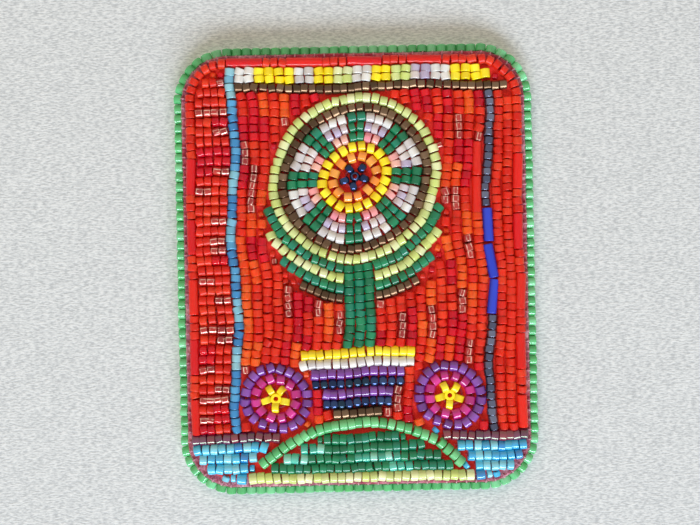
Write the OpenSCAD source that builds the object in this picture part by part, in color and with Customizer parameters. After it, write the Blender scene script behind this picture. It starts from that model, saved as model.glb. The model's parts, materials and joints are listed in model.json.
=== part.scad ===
// Bead-embroidered brooch: a felt panel covered with strung glass beads, edged with one row
// of beads, backed with leather and carried on a hinged brooch pin.
// Every string of beads is a straight line or an arc of a circle, laid on the felt.
// The panel is drawn flat (x right, y up, z to the front) and then stood upright:
// the front faces -Y, +Z is up, and the origin is on the pin stem's axis.

/* [Panel] */
// Width of the fabric panel, without the bead edging
panel_w = 58.2; // [56:0.1:64]
// Height of the fabric panel, without the bead edging
panel_h = 73.2; // [70:0.1:80]
// Corner radius of the fabric panel
corner_r = 8; // [6.5:0.1:10]
// Thickness of the leather backing
leather_t = 0.9; // [0.6:0.1:1.5]
// Thickness of the stiffener card
card_t = 0.5; // [0.3:0.1:1]
// Thickness of the felt over the card
felt_t = 1.0; // [0.8:0.1:2]
// How far the card stays inside the panel's edge
card_inset = 1.6; // [1:0.1:4]
// Play around the card in its pocket
card_play = 0.1; // [0.05:0.05:0.4]
// Bare felt between the panel's edge and the first row of beads
edge_margin = 0.8; // [0.6:0.1:1.6]

/* [Beads] */
// Outer diameter of a cylinder bead
bead_d = 1.6; // [1.4:0.05:1.75]
// Length of a cylinder bead along its hole
bead_l = 1.3; // [1.1:0.05:1.5]
// Diameter of a bead's hole
bead_hole = 0.8; // [0.6:0.05:0.9]
// Bevel at a bead's ends
bead_bevel = 0.12; // [0.05:0.01:0.2]
// Length of a bugle bead
bugle_l = 6; // [4:0.1:8]
// Least gap between neighbouring beads
bead_gap = 0.05; // [0.04:0.01:0.1]
// Shortest bead that is picked to fill a line, as a factor of the usual length
short_pick = 0.85; // [0.75:0.01:1]
// Longest bead that is picked to fill a line, as a factor of the usual length
long_pick = 1.2; // [1:0.01:1.3]
// Gap between a bead and the cloth under it
seat_gap = 0.02; // [0.01:0.01:0.1]
// Diameter of the beading thread
thread_d = 0.3; // [0.2:0.05:0.45]
// Length of an edging stitch on the leather
back_stitch_l = 2; // [1:0.1:3]

/* [Picture] */
// Beads in each row of the left strip
left_beads = 4; // [3:1:5]
// Strings in the right strip
right_strings = 2; // [1:1:3]
// Beads in each stack of the top band
band_beads = 2; // [1:1:3]
// Height of the bottom corners
corner_h = 7.5; // [6:0.1:9.5]
// Beads between two bugles of the border
border_run = 3; // [1:1:6]
// Rings of beads in the flower
flower_rings = 8; // [7:1:8]
// Petals of the flower
petals = 8; // [5:1:10]
// Rings of beads in each bud
bud_rings = 3; // [2:1:3]
// Strings of the field that the bowl's rim covers on each side of its middle
rim_reach = 5; // [5:1:6]
// Level rows in the bowl's body
bowl_rows = 4; // [2:2:4]
// Rings of beads in the leaves under the flower
leaf_rings = 4; // [3:1:4]
// Angle from the stem to the leaves' tips, in degrees
leaf_tip = 72; // [60:1:80]
// How much earlier each further ring of a leaf ends, in degrees
leaf_taper = 14; // [10:1:16]
// Height of the mound above the base row
mound_h = 9.2; // [8:0.1:9.5]
// Width of the mound at the base row
mound_w = 38; // [30:0.5:42]
// Bugles in the upright line of the right strip
line_bugles = 3; // [1:1:5]
// Bugles in the field
field_bugles = 2; // [1:1:2]
// Length of a run of one colour
run_l = 4.2; // [2:0.1:8]
// Size of the small beads that fill bare spots, as a factor of the usual bead
filler_size = 0.7; // [0.6:0.05:0.9]
// Step of the grid on which a small bead is tried
filler_step = 0.4; // [0.3:0.05:0.8]
// Turn between the directions in which a small bead is tried, in degrees
filler_turn = 22.5; // [15:7.5:45]
// Share of vermilion beads among the reds
vermilion_share = 0.48; // [0.3:0.01:0.6]
// Share of cherry beads among the reds
cherry_share = 0.22; // [0.1:0.01:0.35]
// Share of orange beads among the reds of the field
orange_share = 0.15; // [0:0.01:0.3]
// Share of sky beads in the blue stripe
sky_share = 0.6; // [0.2:0.01:0.8]
// Share of emerald beads in the mound
emerald_share = 0.68; // [0.3:0.01:0.9]

/* [Brooch pin] */
// Height of the pin above the panel's middle
pin_y = 16; // [8:0.5:22]
// Length of the pin's bar
bar_l = 36; // [33:0.5:44]
// Width of the pin's bar
bar_w = 5; // [4.8:0.1:6.5]
// Thickness of the pin's bar
bar_t = 0.8; // [0.6:0.1:1.1]
// Diameter of the sewing holes in the bar
bar_hole_d = 2.2; // [2:0.1:2.6]
// Sewing holes in the bar
bar_holes = 3; // [2:1:4]
// Spacing of the sewing holes
bar_hole_pitch = 6; // [5:0.1:6.5]
// Diameter of the thread that sews the bar on
bar_thread_d = 0.4; // [0.3:0.05:0.5]
// Strands of thread over each edge of the bar at a hole
stitch_strands = 2; // [1:1:2]
// Gap between the strands
stitch_gap = 0.1; // [0.05:0.05:0.2]
// How far a strand reaches past the bar's edge
stitch_over = 1.1; // [0.8:0.1:1.6]
// Distance of the stem's axis from the leather
stem_z = 2.9; // [2.7:0.1:4]
// Diameter of the stem's wire
stem_d = 0.8; // [0.7:0.05:0.9]
// Diameter of the stem's root beside the eye
root_d = 1.3; // [1.2:0.05:1.4]
// Length of the stem's root from the hinge
root_l = 3.4; // [3:0.1:4.5]
// Length of the wire's full thickness
wire_l = 22; // [16:0.1:22]
// Diameter of the hinge rivet
rivet_d = 1; // [0.8:0.05:1.1]
// Diameter of the rivet's heads
rivet_head_d = 1.7; // [1.4:0.1:2]
// Thickness of the rivet's heads
rivet_head_t = 0.35; // [0.25:0.05:0.5]
// Diameter of the stem's eye and of the hinge ears
eye_d = 2.6; // [2.4:0.1:3]
// Width of the stem's eye along the rivet
eye_w = 1.5; // [1.2:0.1:1.8]
// Thickness of a hinge ear
ear_t = 0.6; // [0.5:0.05:0.8]
// Running play in the hinge and the lock
play = 0.06; // [0.04:0.01:0.1]
// Length of the stem's point
point_l = 1.6; // [1.2:0.1:2.5]
// Diameter of the stem where its point begins
point_d = 0.56; // [0.5:0.02:0.66]
// Diameter of the blunted tip
tip_d = 0.12; // [0.08:0.01:0.2]
// Length of the catch tube
catch_l = 4; // [3:0.1:5]
// Outer diameter of the catch tube
catch_d = 3.4; // [3.2:0.1:3.8]
// Wall of the catch tube
catch_wall = 0.4; // [0.3:0.05:0.5]
// Width of the foot under the catch tube
foot_w = 2.2; // [1.6:0.1:2.6]
// Wall of the lock sleeve
lock_wall = 0.5; // [0.4:0.05:0.5]
// Width of the slot that lets the stem in
slot_w = 1.2; // [1.1:0.05:1.3]
// Thickness of the rim that keeps the lock in the tube
rim_t = 0.4; // [0.3:0.05:0.6]
// Thickness of the lock's thumb tab
tab_t = 0.8; // [0.6:0.1:1.2]
// Reach of the thumb tab from the lock's axis
tab_reach = 3.4; // [2.8:0.1:4.5]

/* [Hidden] */
$fn = 32;
far = 1000;
// Panel
half_w = panel_w / 2;
half_h = panel_h / 2;
felt_top = leather_t + card_t + felt_t;
// Straight half lengths of the panel's sides
side_x = half_w - corner_r;
side_y = half_h - corner_r;
// Beads
bead_r = bead_d / 2;
bead_z = felt_top + seat_gap + bead_r;
row_pitch = bead_d + bead_gap;
bead_pitch = bead_l + bead_gap;
bugle_pitch = bugle_l + bead_gap;
shortest_l = bead_l * short_pick;
longest_l = bead_l * long_pick;
// Edging
edge_pitch = row_pitch;
edge_arc = 90 * PI / 180 * (corner_r + seat_gap);
edge_half = 2 * side_x + 2 * side_y + 2 * edge_arc;
edge_count = 2 * floor(edge_half / edge_pitch);
edge_z = felt_top / 2;
front_stitch_l = edge_margin - 3 * bead_gap;
// Border row, and the area inside it
border_in = edge_margin + bead_r;
border_x = half_w - border_in;
border_y = half_h - border_in;
inner_x = border_x - bead_r - bead_gap;
inner_y = border_y - bead_r - bead_gap;
// Bottom zone
bottom_y = edge_margin - half_h;
corner_y = bottom_y + corner_h;
low_y = corner_y + bead_r + bead_gap;
// Strips to the left and the right of the field
left_x = left_beads * bead_pitch - inner_x;
stripe_x = left_x + bead_r;
field_left = stripe_x + bead_r + bead_gap;
line_x = inner_x - bead_r - right_strings * row_pitch;
field_right = line_x - bead_r - bead_gap;
field_strings = 2 * floor((field_right - field_left + bead_gap) / row_pitch / 2);
field_pitch = (field_right - field_left + bead_gap) / field_strings;
string_gap = field_pitch - bead_d;
// Top band and the dark line under it
band_low = inner_y - band_beads * bead_pitch + bead_gap;
band_line_y = band_low - bead_gap - bead_r;
field_top = band_line_y - bead_r - bead_gap;
// Motifs. The flower and the buds each stand in the room of a whole number of strings.
flower_reach = reach(rosette_r(flower_rings));
flower_span = ceil((2 * (flower_reach + bead_gap) - string_gap) / field_pitch);
flower_first = floor((field_strings - flower_span) / 2);
motif_x = field_string_x(flower_first + (flower_span - 1) / 2);
flower_y = field_top - bead_gap - flower_reach;
flower_c = [motif_x, flower_y];
bud_reach = reach(rosette_r(bud_rings));
bud_span = ceil((2 * bud_reach + bead_gap) / field_pitch);
bud_in = (bud_span * field_pitch - bead_gap) / 2;
bud_left = [field_left + bud_in, low_y + bud_reach];
bud_right = [field_right - bud_in, low_y + bud_reach];
base_y = bottom_y + bead_r;
mound_low = base_y + bead_r + bead_gap;
mound_r = (pow(mound_w / 2, 2) + pow(mound_h, 2)) / (2 * mound_h);
mound_c = [motif_x, mound_low + mound_h - mound_r];
// 1 where the middle of the flower, the stem and the bowl lies on a string, 0 where it lies between two
mid_string = flower_span % 2;
stem_strings = 2 + mid_string;
rim_rows = 2;
foot_rows = 1;
bowl_low = mound_low + mound_h + bead_gap;
rim_top = bowl_low + (foot_rows + bowl_rows + rim_rows) * row_pitch - bead_gap;
// Brooch pin
pin_r = stem_d / 2;
hinge_x = eye_d / 2 - bar_l / 2;
ear_in = eye_w / 2 + play;
ear_out = ear_in + ear_t;
ear_r = eye_d / 2;
rivet_r = rivet_d / 2;
wire_x = hinge_x + root_l;
taper_x = wire_x + wire_l;
catch_x = bar_l / 2 - catch_l - tab_t - play;
point_x = catch_x + catch_l + 2 * tab_t;
catch_r = catch_d / 2;
lock_r = catch_r - catch_wall - play;
lock_bore_r = lock_r - lock_wall;
rim_r = catch_r - catch_wall / 2;
stitch_out = bar_w / 2 + stitch_over;
stitch_in = bar_thread_d;
stitch_r = (stitch_out - stitch_in) / 2;
stitch_pitch = bar_thread_d + stitch_gap;
// Fixed draws for mixing the colours of a string
draws = rands(0, 1, 997, 41);

// Bead colours
vermilion = "#d73c28";
cherry = "#b8142c";
orange_red = "#eb5a22";
glass_red = "#8c1a18";
bugle_red = "#c8242a";
sky = "#8cbcd4";
blue = "#3c82be";
gunmetal = "#5f6478";
cobalt = "#283cbe";
white = "#dcd8d2";
yellow = "#f5dc1e";
lime = "#cdd78c";
lilac = "#b4a8c0";
brown = "#46372d";
emerald = "#146e46";
teal = "#28a08c";
green = "#64be78";
orange = "#f08c28";
navy = "#2a3a5c";
pink = "#e89a98";
magenta = "#be1478";
purple = "#6e328c";
aqua = "#5ab4dc";
burgundy = "#781e3c";
// Colours of the other pieces
felt_red = "#b01c40";
leather_brown = "#5a3a28";
card_grey = "#b8b0a0";
thread_red = "#a01830";
thread_black = "#2a2526";
steel = "#c8c8cc";

// Outermost radius that a ring of beads reaches, when its holes lie on radius r
function reach(r) = norm([r + bead_r, longest_l / 2]);

// Radius of the holes in a ring that reaches to radius r
function ring_within(r) = sqrt(pow(r, 2) - pow(longest_l / 2, 2)) - bead_r;

// Radius of the holes in ring k of a rosette, counted from its middle bead
function rosette_r(k) = k == 0 ? 0 : bead_r + bead_gap + (k == 1 ? bead_r : reach(rosette_r(k - 1)));

// Angle between two usual beads on a ring of radius r
function ring_step(r) = 2 * atan(bead_pitch / (2 * r - bead_d));

// A bead is [x, y, direction of its hole, length]; this one sits on a ring at angle a
function on_ring(c, r, a, l) = [c[0] + r * cos(a), c[1] + r * sin(a), a + 90, l];

// Half the room that a bead takes along the unit vector u
function extent(b, u, r = bead_r) =
    b[3] / 2 * abs(u * [cos(b[2]), sin(b[2])]) + r * abs(u * [-sin(b[2]), cos(b[2])]);

// A motif's shape is a list of discs [centre, radius] and boxes [low, high] that all contain it.
// A bead is clear of the shape when it is clear of one of them.
function clear_of_disc(b, c, r) =
    let (v = [b[0], b[1]] - c, n = norm(v))
    n > r && n - extent(b, v / n) >= r + bead_gap;

function clear_of_box(b, low, high) =
    let (ex = extent(b, [1, 0]) + bead_gap, ey = extent(b, [0, 1]) + bead_gap)
    b[0] + ex <= low[0] || b[0] - ex >= high[0] || b[1] + ey <= low[1] || b[1] - ey >= high[1];

function clear_of(b, shape) =
    len([for (p = shape)
        if (is_num(p[1]) ? clear_of_disc(b, p[0], p[1]) : clear_of_box(b, p[0], p[1])) p]) > 0;

function clear_of_all(b, shapes) = len([for (s = shapes) if (!clear_of(b, s)) s]) == 0;

// Stretch of a string that a shape takes up. The string lies at place t across axis i
// (i is 0 for an upright string and 1 for a level one).
function taken(p, t, i) =
    let (j = 1 - i)
    is_num(p[1])
        ? let (off = max(0, abs(t - p[0][i]) - bead_r - bead_gap),
               h = sqrt(max(0, pow(p[1], 2) - pow(off, 2))))
          h > 0 ? [p[0][j] - h - bead_gap, p[0][j] + h + bead_gap] : [far, -far]
        : (t + bead_r + bead_gap <= p[0][i] || t - bead_r - bead_gap >= p[1][i])
            ? [far, -far]
            : [p[0][j] - bead_gap, p[1][j] + bead_gap];

function taken_by(shape, t, i) =
    let (s = [for (p = shape) taken(p, t, i)])
    [max([for (v = s) v[0]]), min([for (v = s) v[1]])];

// Stretches of a string that are left when the shapes are cut out of it
function cut(spans, b) =
    b[1] - b[0] <= 2 * bead_gap ? spans
        : long_enough([for (s = spans, t = [[s[0], min(s[1], b[0])], [max(s[0], b[1]), s[1]]]) t]);

function free_spans(spans, shapes, t, i, k = 0) =
    k == len(shapes) ? spans
        : free_spans(cut(spans, taken_by(shapes[k], t, i)), shapes, t, i, k + 1);

// A straight string is [middle, direction, length]
function long_enough(spans) = [for (s = spans) if (s[1] - s[0] >= shortest_l) s];
function upright(x, spans) =
    [for (s = long_enough(spans)) [[x, (s[0] + s[1]) / 2], 90, s[1] - s[0]]];
function level(y, spans) =
    [for (s = long_enough(spans)) [[(s[0] + s[1]) / 2, y], 0, s[1] - s[0]]];

// Beads on a length, and the length of the beads that are picked to fill it
function bead_count(l) =
    let (n = max(1, round((l + bead_gap) / bead_pitch)))
    n > 1 && (l + bead_gap) / n - bead_gap < shortest_l ? n - 1 : n;
function picked_l(l) = min((l + bead_gap) / bead_count(l) - bead_gap, longest_l);

function string_beads(s) =
    let (n = bead_count(s[2]), l = picked_l(s[2]))
    [for (i = [0:1:n - 1], t = [(i - (n - 1) / 2) * (l + bead_gap)])
        [s[0][0] + t * cos(s[1]), s[0][1] + t * sin(s[1]), s[1], l]];

// The thread of a straight string, with the length that its beads take up
function string_thread(s) =
    [s[0], s[1], bead_count(s[2]) * (picked_l(s[2]) + bead_gap) - bead_gap];

// A curved string is [centre, radius, angles of its beads, step between them, bead length].
// Its beads keep clear of the shapes, and their number over the sweep is a multiple of fold.
function arc_l(r, step) = min((2 * r - bead_d) * tan(step / 2) - bead_gap, longest_l);
function arc(c, r, middle, sweep, shapes, fold = 1) =
    let (most = fold * max(1, round(sweep / ring_step(r) / fold)),
         n = arc_l(r, sweep / most) < shortest_l ? max(fold, most - fold) : most,
         step = sweep / n, l = arc_l(r, step))
    [c, r, [for (i = [0:1:n - 1], a = [middle + (i - (n - 1) / 2) * step])
        if (clear_of_all(on_ring(c, r, a, l), shapes)) a], step, l];

function ring(c, r, shapes, fold = 1) = arc(c, r, 270, 360, shapes, fold);

function arc_beads(s) = [for (a = s[2]) on_ring(s[0], s[1], a, s[4])];

// Threads of a curved string, one for each run of neighbouring beads: [centre, radius, from, to]
function arc_threads(s) =
    let (n = len(s[2]), half = asin(s[4] / 2 / s[1]),
         first = [for (i = [0:1:n - 1]) if (i == 0 || s[2][i] - s[2][i - 1] > 1.5 * s[3]) i],
         last = [for (i = [0:1:n - 1]) if (i == n - 1 || s[2][i + 1] - s[2][i] > 1.5 * s[3]) i])
    [for (i = [0:1:len(first) - 1]) [s[0], s[1], s[2][first[i]] - half, s[2][last[i]] + half]];

function all_beads(strings) = [for (s = strings, b = string_beads(s)) b];
function flat(lists) = [for (l = lists, e = l) e];
function draw(i) = draws[(i % len(draws) + len(draws)) % len(draws)];

// Half width of the panel at a row of beads, inside a margin
function half_width_at(y, margin) =
    let (up = max(0, abs(y) + bead_r - side_y))
    side_x + sqrt(max(0, pow(corner_r - margin, 2) - pow(up, 2)));

// Height of the panel's top above a string of beads, inside a margin
function top_at(x, margin) =
    let (out = max(0, abs(x) + bead_r - side_x))
    side_y + sqrt(max(0, pow(corner_r - margin, 2) - pow(out, 2)));

// Shapes that the background strings go round
function field_string_x(i) = field_left + bead_r + i * field_pitch;
function strings_width(n) = (n - 1) * field_pitch + bead_d;
flower_shape = [[flower_c, flower_reach]];
bud_shapes = [for (c = [bud_left, bud_right]) [[c, bud_reach]]];
stem_half = strings_width(stem_strings) / 2;
stem_low = rim_top + bead_gap;
stem_high = flower_y - flower_reach - bead_gap;
stem_shape = [[[motif_x - stem_half, stem_low], [motif_x + stem_half, stem_high]]];
mound_shape = [[mound_c, mound_r], [[-far, mound_low + bead_gap / 2], [far, far]]];
base_shape = [[[motif_x - mound_w / 2, -far], [motif_x + mound_w / 2, mound_low - bead_gap]]];
// Row k of the bowl, counted from its foot, and how many strings it steps in from the rim
function bowl_y(k) = bowl_low + bead_r + k * row_pitch;
function bowl_step(k) =
    k < foot_rows ? 3 : k < foot_rows + bowl_rows / 2 ? 2 : k < foot_rows + bowl_rows ? 1 : 0;
function bowl_half(k) = strings_width(2 * (rim_reach - bowl_step(k)) + mid_string) / 2;
bowl_all_rows = foot_rows + bowl_rows + rim_rows;
bowl_shapes = [for (k = [0:bowl_all_rows - 1])
    [[[motif_x - bowl_half(k), bowl_y(k) - bead_r], [motif_x + bowl_half(k), bowl_y(k) + bead_r]]]];
// Ring k of the leaves lies along the flower, from the stem to its tip
function leaf_r(k) = rosette_r(flower_rings + 1 + k);
function leaf_end(k) = leaf_tip - k * leaf_taper;
function leaf_start(k) = asin((stem_half + bead_gap) / (leaf_r(k) - bead_r));
function leaf_high(k) = flower_y - (leaf_r(k) - bead_r) * cos(leaf_end(k));
leaf_shapes = [for (k = [0:leaf_rings - 1])
    [[flower_c, reach(leaf_r(k))], [[-far, -far], [far, leaf_high(k)]]]];
over_buds = concat([flower_shape, stem_shape, mound_shape], bowl_shapes);
motif_shapes = concat(over_buds, bud_shapes, leaf_shapes);

// Border: bugles and runs of beads up both sides and along the top, beads round the corners
border_corner_r = corner_r - border_in;
border_unit = bugle_pitch + border_run * bead_pitch;
function border_units(l) = floor((l + bead_gap) / border_unit);
function bugle_places(low, high) =
    [for (i = [0:1:border_units(high - low) - 1]) low + i * border_unit + bugle_l / 2];
function run_spans(low, high) =
    let (n = border_units(high - low))
    concat([for (i = [0:1:n - 1], s = low + i * border_unit + bugle_pitch)
            [s, s + border_run * bead_pitch - bead_gap]],
        [[low + n * border_unit, high]]);
border_side = [low_y, side_y - bead_gap];
border_top = [bead_gap - side_x, side_x - bead_gap];
border_bugles = concat(
    [for (x = [-border_x, border_x], y = bugle_places(border_side[0], border_side[1]))
        [x, y, 90, bugle_l]],
    [for (x = bugle_places(border_top[0], border_top[1])) [x, border_y, 0, bugle_l]]);
border_lines = concat(
    flat([for (x = [-border_x, border_x]) upright(x, run_spans(border_side[0], border_side[1]))]),
    level(border_y, run_spans(border_top[0], border_top[1])));
border_arcs = [
    arc([side_x, side_y], border_corner_r, 45, 90, []),
    arc([-side_x, side_y], border_corner_r, 135, 90, [])
];
border_beads = concat(all_beads(border_lines), flat([for (s = border_arcs) arc_beads(s)]));

// Left strip: short level rows, and the blue stripe beside them
left_rows = floor((inner_y - low_y + bead_gap) / row_pitch);
left_pitch = (inner_y - low_y + bead_gap) / left_rows;
left_lines = flat([for (i = [0:left_rows - 1], y = low_y + bead_r + i * left_pitch)
    level(y, [[-min(inner_x, half_width_at(y, border_in + bead_r + bead_gap)), left_x - bead_gap]])]);
function red_mix(i) =
    draw(i) < vermilion_share ? "vermilion"
        : draw(i) < vermilion_share + cherry_share ? "cherry" : "glass";
left_bead_list = [for (i = [0:len(left_lines) - 1])
    let (row = string_beads(left_lines[i]))
    each [for (k = [0:len(row) - 1]) concat(row[k], red_mix(13 * i + floor(k / 2)))]];
stripe_lines = upright(stripe_x, [[low_y, top_at(stripe_x, border_in + bead_r + bead_gap)]]);
stripe_beads = [for (b = all_beads(stripe_lines))
    concat(b, draw(floor(b[1] / run_l) + 200) < sky_share ? "sky" : "blue")];

// Top band: short upright stacks in four colours, and the dark line under them
band_tones = ["white", "yellow", "lime", "lilac"];
band_right = half_width_at(band_low + bead_r, border_in + bead_r + bead_gap);
band_stacks = floor((band_right - field_left + bead_gap) / row_pitch);
function band_x(i) = field_left + bead_r + i * row_pitch;
band_lines = flat([for (i = [0:band_stacks - 1])
    let (high = top_at(band_x(i), border_in + bead_r + bead_gap))
    upright(band_x(i), [[band_low, high]])]);
band_bead_list = [for (s = band_lines, b = string_beads(s))
    concat(b, band_tones[floor(draw(floor((s[0][0] + half_w) / row_pitch / 2) + 300) * 4)])];
band_line = level(band_line_y,
    [[field_left, half_width_at(band_line_y, border_in + bead_r + bead_gap)]]);

// Right strip: the upright line with its bugles, and the strings beside it
line_mid = (low_y + field_top) / 2;
line_bugle_l = line_bugles * bugle_pitch - bead_gap;
line_lines = upright(line_x, [
    [low_y, line_mid - line_bugle_l / 2 - bead_gap],
    [line_mid + line_bugle_l / 2 + bead_gap, field_top]]);
line_bugle_list = [for (i = [0:line_bugles - 1])
    [line_x, line_mid + (i - (line_bugles - 1) / 2) * bugle_pitch, 90, bugle_l]];
right_lines = flat([for (i = [0:right_strings - 1], x = inner_x - bead_r - i * row_pitch)
    upright(x, [[low_y, min(field_top, top_at(x, border_in + bead_r + bead_gap))]])]);

// Field: upright strings that stop at the motifs, with a few bugles near the right edge
bugle_x = field_string_x(field_strings - 1);
bugle_mid = flower_y;
field_bugle_list = [for (i = [0:field_bugles - 1])
    [bugle_x, bugle_mid + (i - (field_bugles - 1) / 2) * bugle_pitch, 90, bugle_l]];
bugle_stretch = field_bugles * bugle_pitch - bead_gap;
bugle_shape = [[[bugle_x, bugle_mid - bugle_stretch / 2], [bugle_x, bugle_mid + bugle_stretch / 2]]];
field_lines = [for (i = [0:field_strings - 1])
    let (x = field_string_x(i), shapes = concat(motif_shapes, [bugle_shape]))
    upright(x, free_spans([[low_y, field_top]], shapes, x, 0))];
function field_tone(i, y) =
    let (d = draw(i * 29 + floor((y + half_h) / run_l)))
    d < vermilion_share ? "vermilion"
        : d < vermilion_share + cherry_share ? "cherry"
        : d < vermilion_share + cherry_share + orange_share ? "orange" : "glass";
field_bead_list = [for (i = [0:field_strings - 1], s = field_lines[i], b = string_beads(s))
    concat(b, field_tone(i, b[1]))];

// Flower: rings from the outside in, with petals and the gaps between them
flower_tones = concat(
    ["halo", "outline"],
    [for (i = [0:1:flower_rings - 6]) "petal"],
    ["yellow", "orange", "core"]);
petal_tones = ["white", "lilac", "pink"];
flower_strings = [for (k = [0:flower_rings - 1])
    ring(flower_c, rosette_r(flower_rings - k), [], flower_tones[k] == "petal" ? petals : 1)];
// Share of a petal's angle that is the gap beside it, by ring from the outside
petal_gaps = [0.42, 0.26, 0.34];
function flower_tone(k, a) =
    flower_tones[k] != "petal" ? flower_tones[k]
        : let (turn = ((a - 90) * petals / 360) % 1, edge = abs(turn - floor(turn) - 0.5) * 2)
          edge > 1 - petal_gaps[(k - 2) % 3] ? "gap" : petal_tones[(k - 2) % 3];
flower_beads = [for (k = [0:flower_rings - 1], a = flower_strings[k][2])
    concat(on_ring(flower_c, flower_strings[k][1], a, flower_strings[k][4]), flower_tone(k, a))];

// Buds: rings with an upright bead in the middle
bud_centres = [bud_left, bud_right];
bud_tones = ["rim", "petal", "centre"];
bud_strings = [for (k = [0:bud_rings - 1])
    [for (c = bud_centres) ring(c, rosette_r(bud_rings - k), over_buds)]];
bud_bead_list = [for (k = [0:bud_rings - 1], s = bud_strings[k], b = arc_beads(s))
    concat(b, bud_tones[min(k, len(bud_tones) - 1)])];

// Bowl: level rows in steps, with a foot and a rim
function bowl_tone(k) =
    k < foot_rows ? "foot"
        : k < foot_rows + bowl_rows ? ["navy", "purple"][(k - foot_rows) % 2]
        : ["white", "yellow"][k - foot_rows - bowl_rows];
bowl_lines = [for (k = [0:bowl_all_rows - 1]) [[motif_x, bowl_y(k)], 0, 2 * bowl_half(k)]];
bowl_bead_list = [for (k = [0:bowl_all_rows - 1], b = string_beads(bowl_lines[k])) concat(b, bowl_tone(k))];

// Stem and leaves
stem_lines = flat([for (i = [0:stem_strings - 1])
    upright(motif_x + (i - (stem_strings - 1) / 2) * field_pitch, [[stem_low, stem_high]])]);
function leaf_arc(side, k) =
    arc(flower_c, leaf_r(k), 270 + side * (leaf_start(k) + leaf_end(k)) / 2, leaf_end(k) - leaf_start(k), []);
leaf_strings = [for (k = [0:leaf_rings - 1]) [for (side = [-1, 1]) leaf_arc(side, k)]];
function leaf_tone(k) = k == leaf_rings - 1 ? "outline" : k == 1 ? "vein" : "blade";
leaf_bead_list = [for (k = [0:leaf_rings - 1], s = leaf_strings[k], b = arc_beads(s))
    concat(b, leaf_tone(k))];

// Mound: a crest over level rows, on a base row
floor_shape = [[[-far, -far], [far, mound_low - bead_gap]]];
crest_r = ring_within(mound_r);
crest_sweep = 2 * acos((mound_low - mound_c[1]) / crest_r);
crest = arc(mound_c, crest_r, 90, crest_sweep, [floor_shape]);
mound_in_r = crest_r - bead_r - bead_gap;
function mound_half(y) = sqrt(max(0, pow(mound_in_r, 2) - pow(y + bead_r - mound_c[1], 2)));
mound_rows = floor((mound_c[1] + mound_in_r - mound_low) / row_pitch);
mound_lines = flat([for (i = [0:mound_rows - 1], y = mound_low + bead_r + i * row_pitch)
    level(y, [[motif_x - mound_half(y), motif_x + mound_half(y)]])]);
function mound_tone(i, k) = draw(31 * i + floor(k / 3) + 500) < emerald_share ? "emerald" : "teal";
mound_beads = [for (i = [0:1:len(mound_lines) - 1])
    let (row = string_beads(mound_lines[i]))
    each [for (k = [0:1:len(row) - 1]) concat(row[k], mound_tone(i, k))]];
base_line = [[motif_x, base_y], 0, mound_w - 2 * bead_gap];

// Bottom corners: level rows that stop at the mound, with a dark line over them
corner_rows = floor((corner_y - bead_r - bottom_y) / row_pitch);
corner_pitch = (corner_y - bead_r - bottom_y) / corner_rows;
function corner_row(y) = level(y, free_spans(
    [[-half_width_at(y, edge_margin), half_width_at(y, edge_margin)]], [mound_shape, base_shape], y, 1));
corner_lines = flat([for (i = [0:corner_rows - 1]) corner_row(bottom_y + bead_r + i * corner_pitch)]);
corner_tops = corner_row(corner_y);

// Every thread: straight ones, and arcs
straight_strings = concat(border_lines, left_lines, stripe_lines, band_lines, band_line, line_lines,
    right_lines, flat(field_lines), bowl_lines, stem_lines, mound_lines, [base_line],
    corner_lines, corner_tops);
curved_strings = concat(border_arcs, [crest], flower_strings, flat(leaf_strings), flat(bud_strings));

// Small beads fill the spots that the strings leave bare. They are worked out only for the sub-parts
// that have such beads, because every bead on the panel has to be looked at.
filler_r = filler_size * bead_r;
filler_l = filler_size * bead_l;
// A bugle counts as a chain of short pieces here
function chain(b) =
    let (n = ceil(b[3] / longest_l))
    [for (i = [0:n - 1], t = ((i + 0.5) / n - 0.5) * b[3])
        [b[0] + t * cos(b[2]), b[1] + t * sin(b[2]), b[2], b[3] / n]];
function strung_beads() = concat(
    all_beads(straight_strings),
    flat([for (s = curved_strings) arc_beads(s)]),
    flat([for (b = concat(border_bugles, line_bugle_list, field_bugle_list)) chain(b)]),
    [for (c = concat([flower_c], bud_centres)) [c[0], c[1], 0, bead_d]]);

// A small bead is apart from another of radius r when some direction along or across one of them
// shows a gap between them
function apart(a, b, r) =
    let (v = [b[0] - a[0], b[1] - a[1]])
    max([for (t = [a[2], a[2] + 90, b[2], b[2] + 90], u = [[cos(t), sin(t)]])
        abs(v * u) - extent(a, u, filler_r) - extent(b, u, r)]) >= bead_gap;
function apart_from_all(a, beads, r) = len([for (b = beads) if (!apart(a, b, r)) b]) == 0;
function near(p, beads, d) = [for (b = beads) if (norm([b[0], b[1]] - p) < d) b];
function on_panel(b) =
    let (out = [for (i = [0, 1]) sign(b[i]) * max(0, abs(b[i]) - [side_x, side_y][i])], n = norm(out))
    n == 0 || n + extent(b, out / n, filler_r) <= corner_r - edge_margin;

// Within the first distance a bead is always in the way of a small one, beyond the second it never is
touch_d = (filler_l + shortest_l) / 2;
near_d = norm([filler_r, filler_l / 2]) + norm([bead_r, longest_l / 2]) + bead_gap;
// The panel is gone through in square cells, so that only the beads around a cell are looked at
cell_steps = 10;
cell_w = cell_steps * filler_step;
function around(beads, low) =
    [for (b = beads)
        if (max(abs(b[0] - low[0] - cell_w / 2), abs(b[1] - low[1] - cell_w / 2)) < cell_w / 2 + near_d) b];
function bare_places(beads) =
    [for (y = [-half_h:cell_w:half_h], x = [-half_w:cell_w:half_w])
        let (beside = around(beads, [x, y]))
        for (j = [0:cell_steps - 1], i = [0:cell_steps - 1])
            let (p = [x + i * filler_step, y + j * filler_step], close = near(p, beside, near_d))
            if (len(near(p, close, touch_d)) == 0)
                for (a = [0:filler_turn:180 - filler_turn])
                    let (b = [p[0], p[1], a, filler_l])
                    if (on_panel(b) && apart_from_all(b, close, bead_r)) b];
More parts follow.
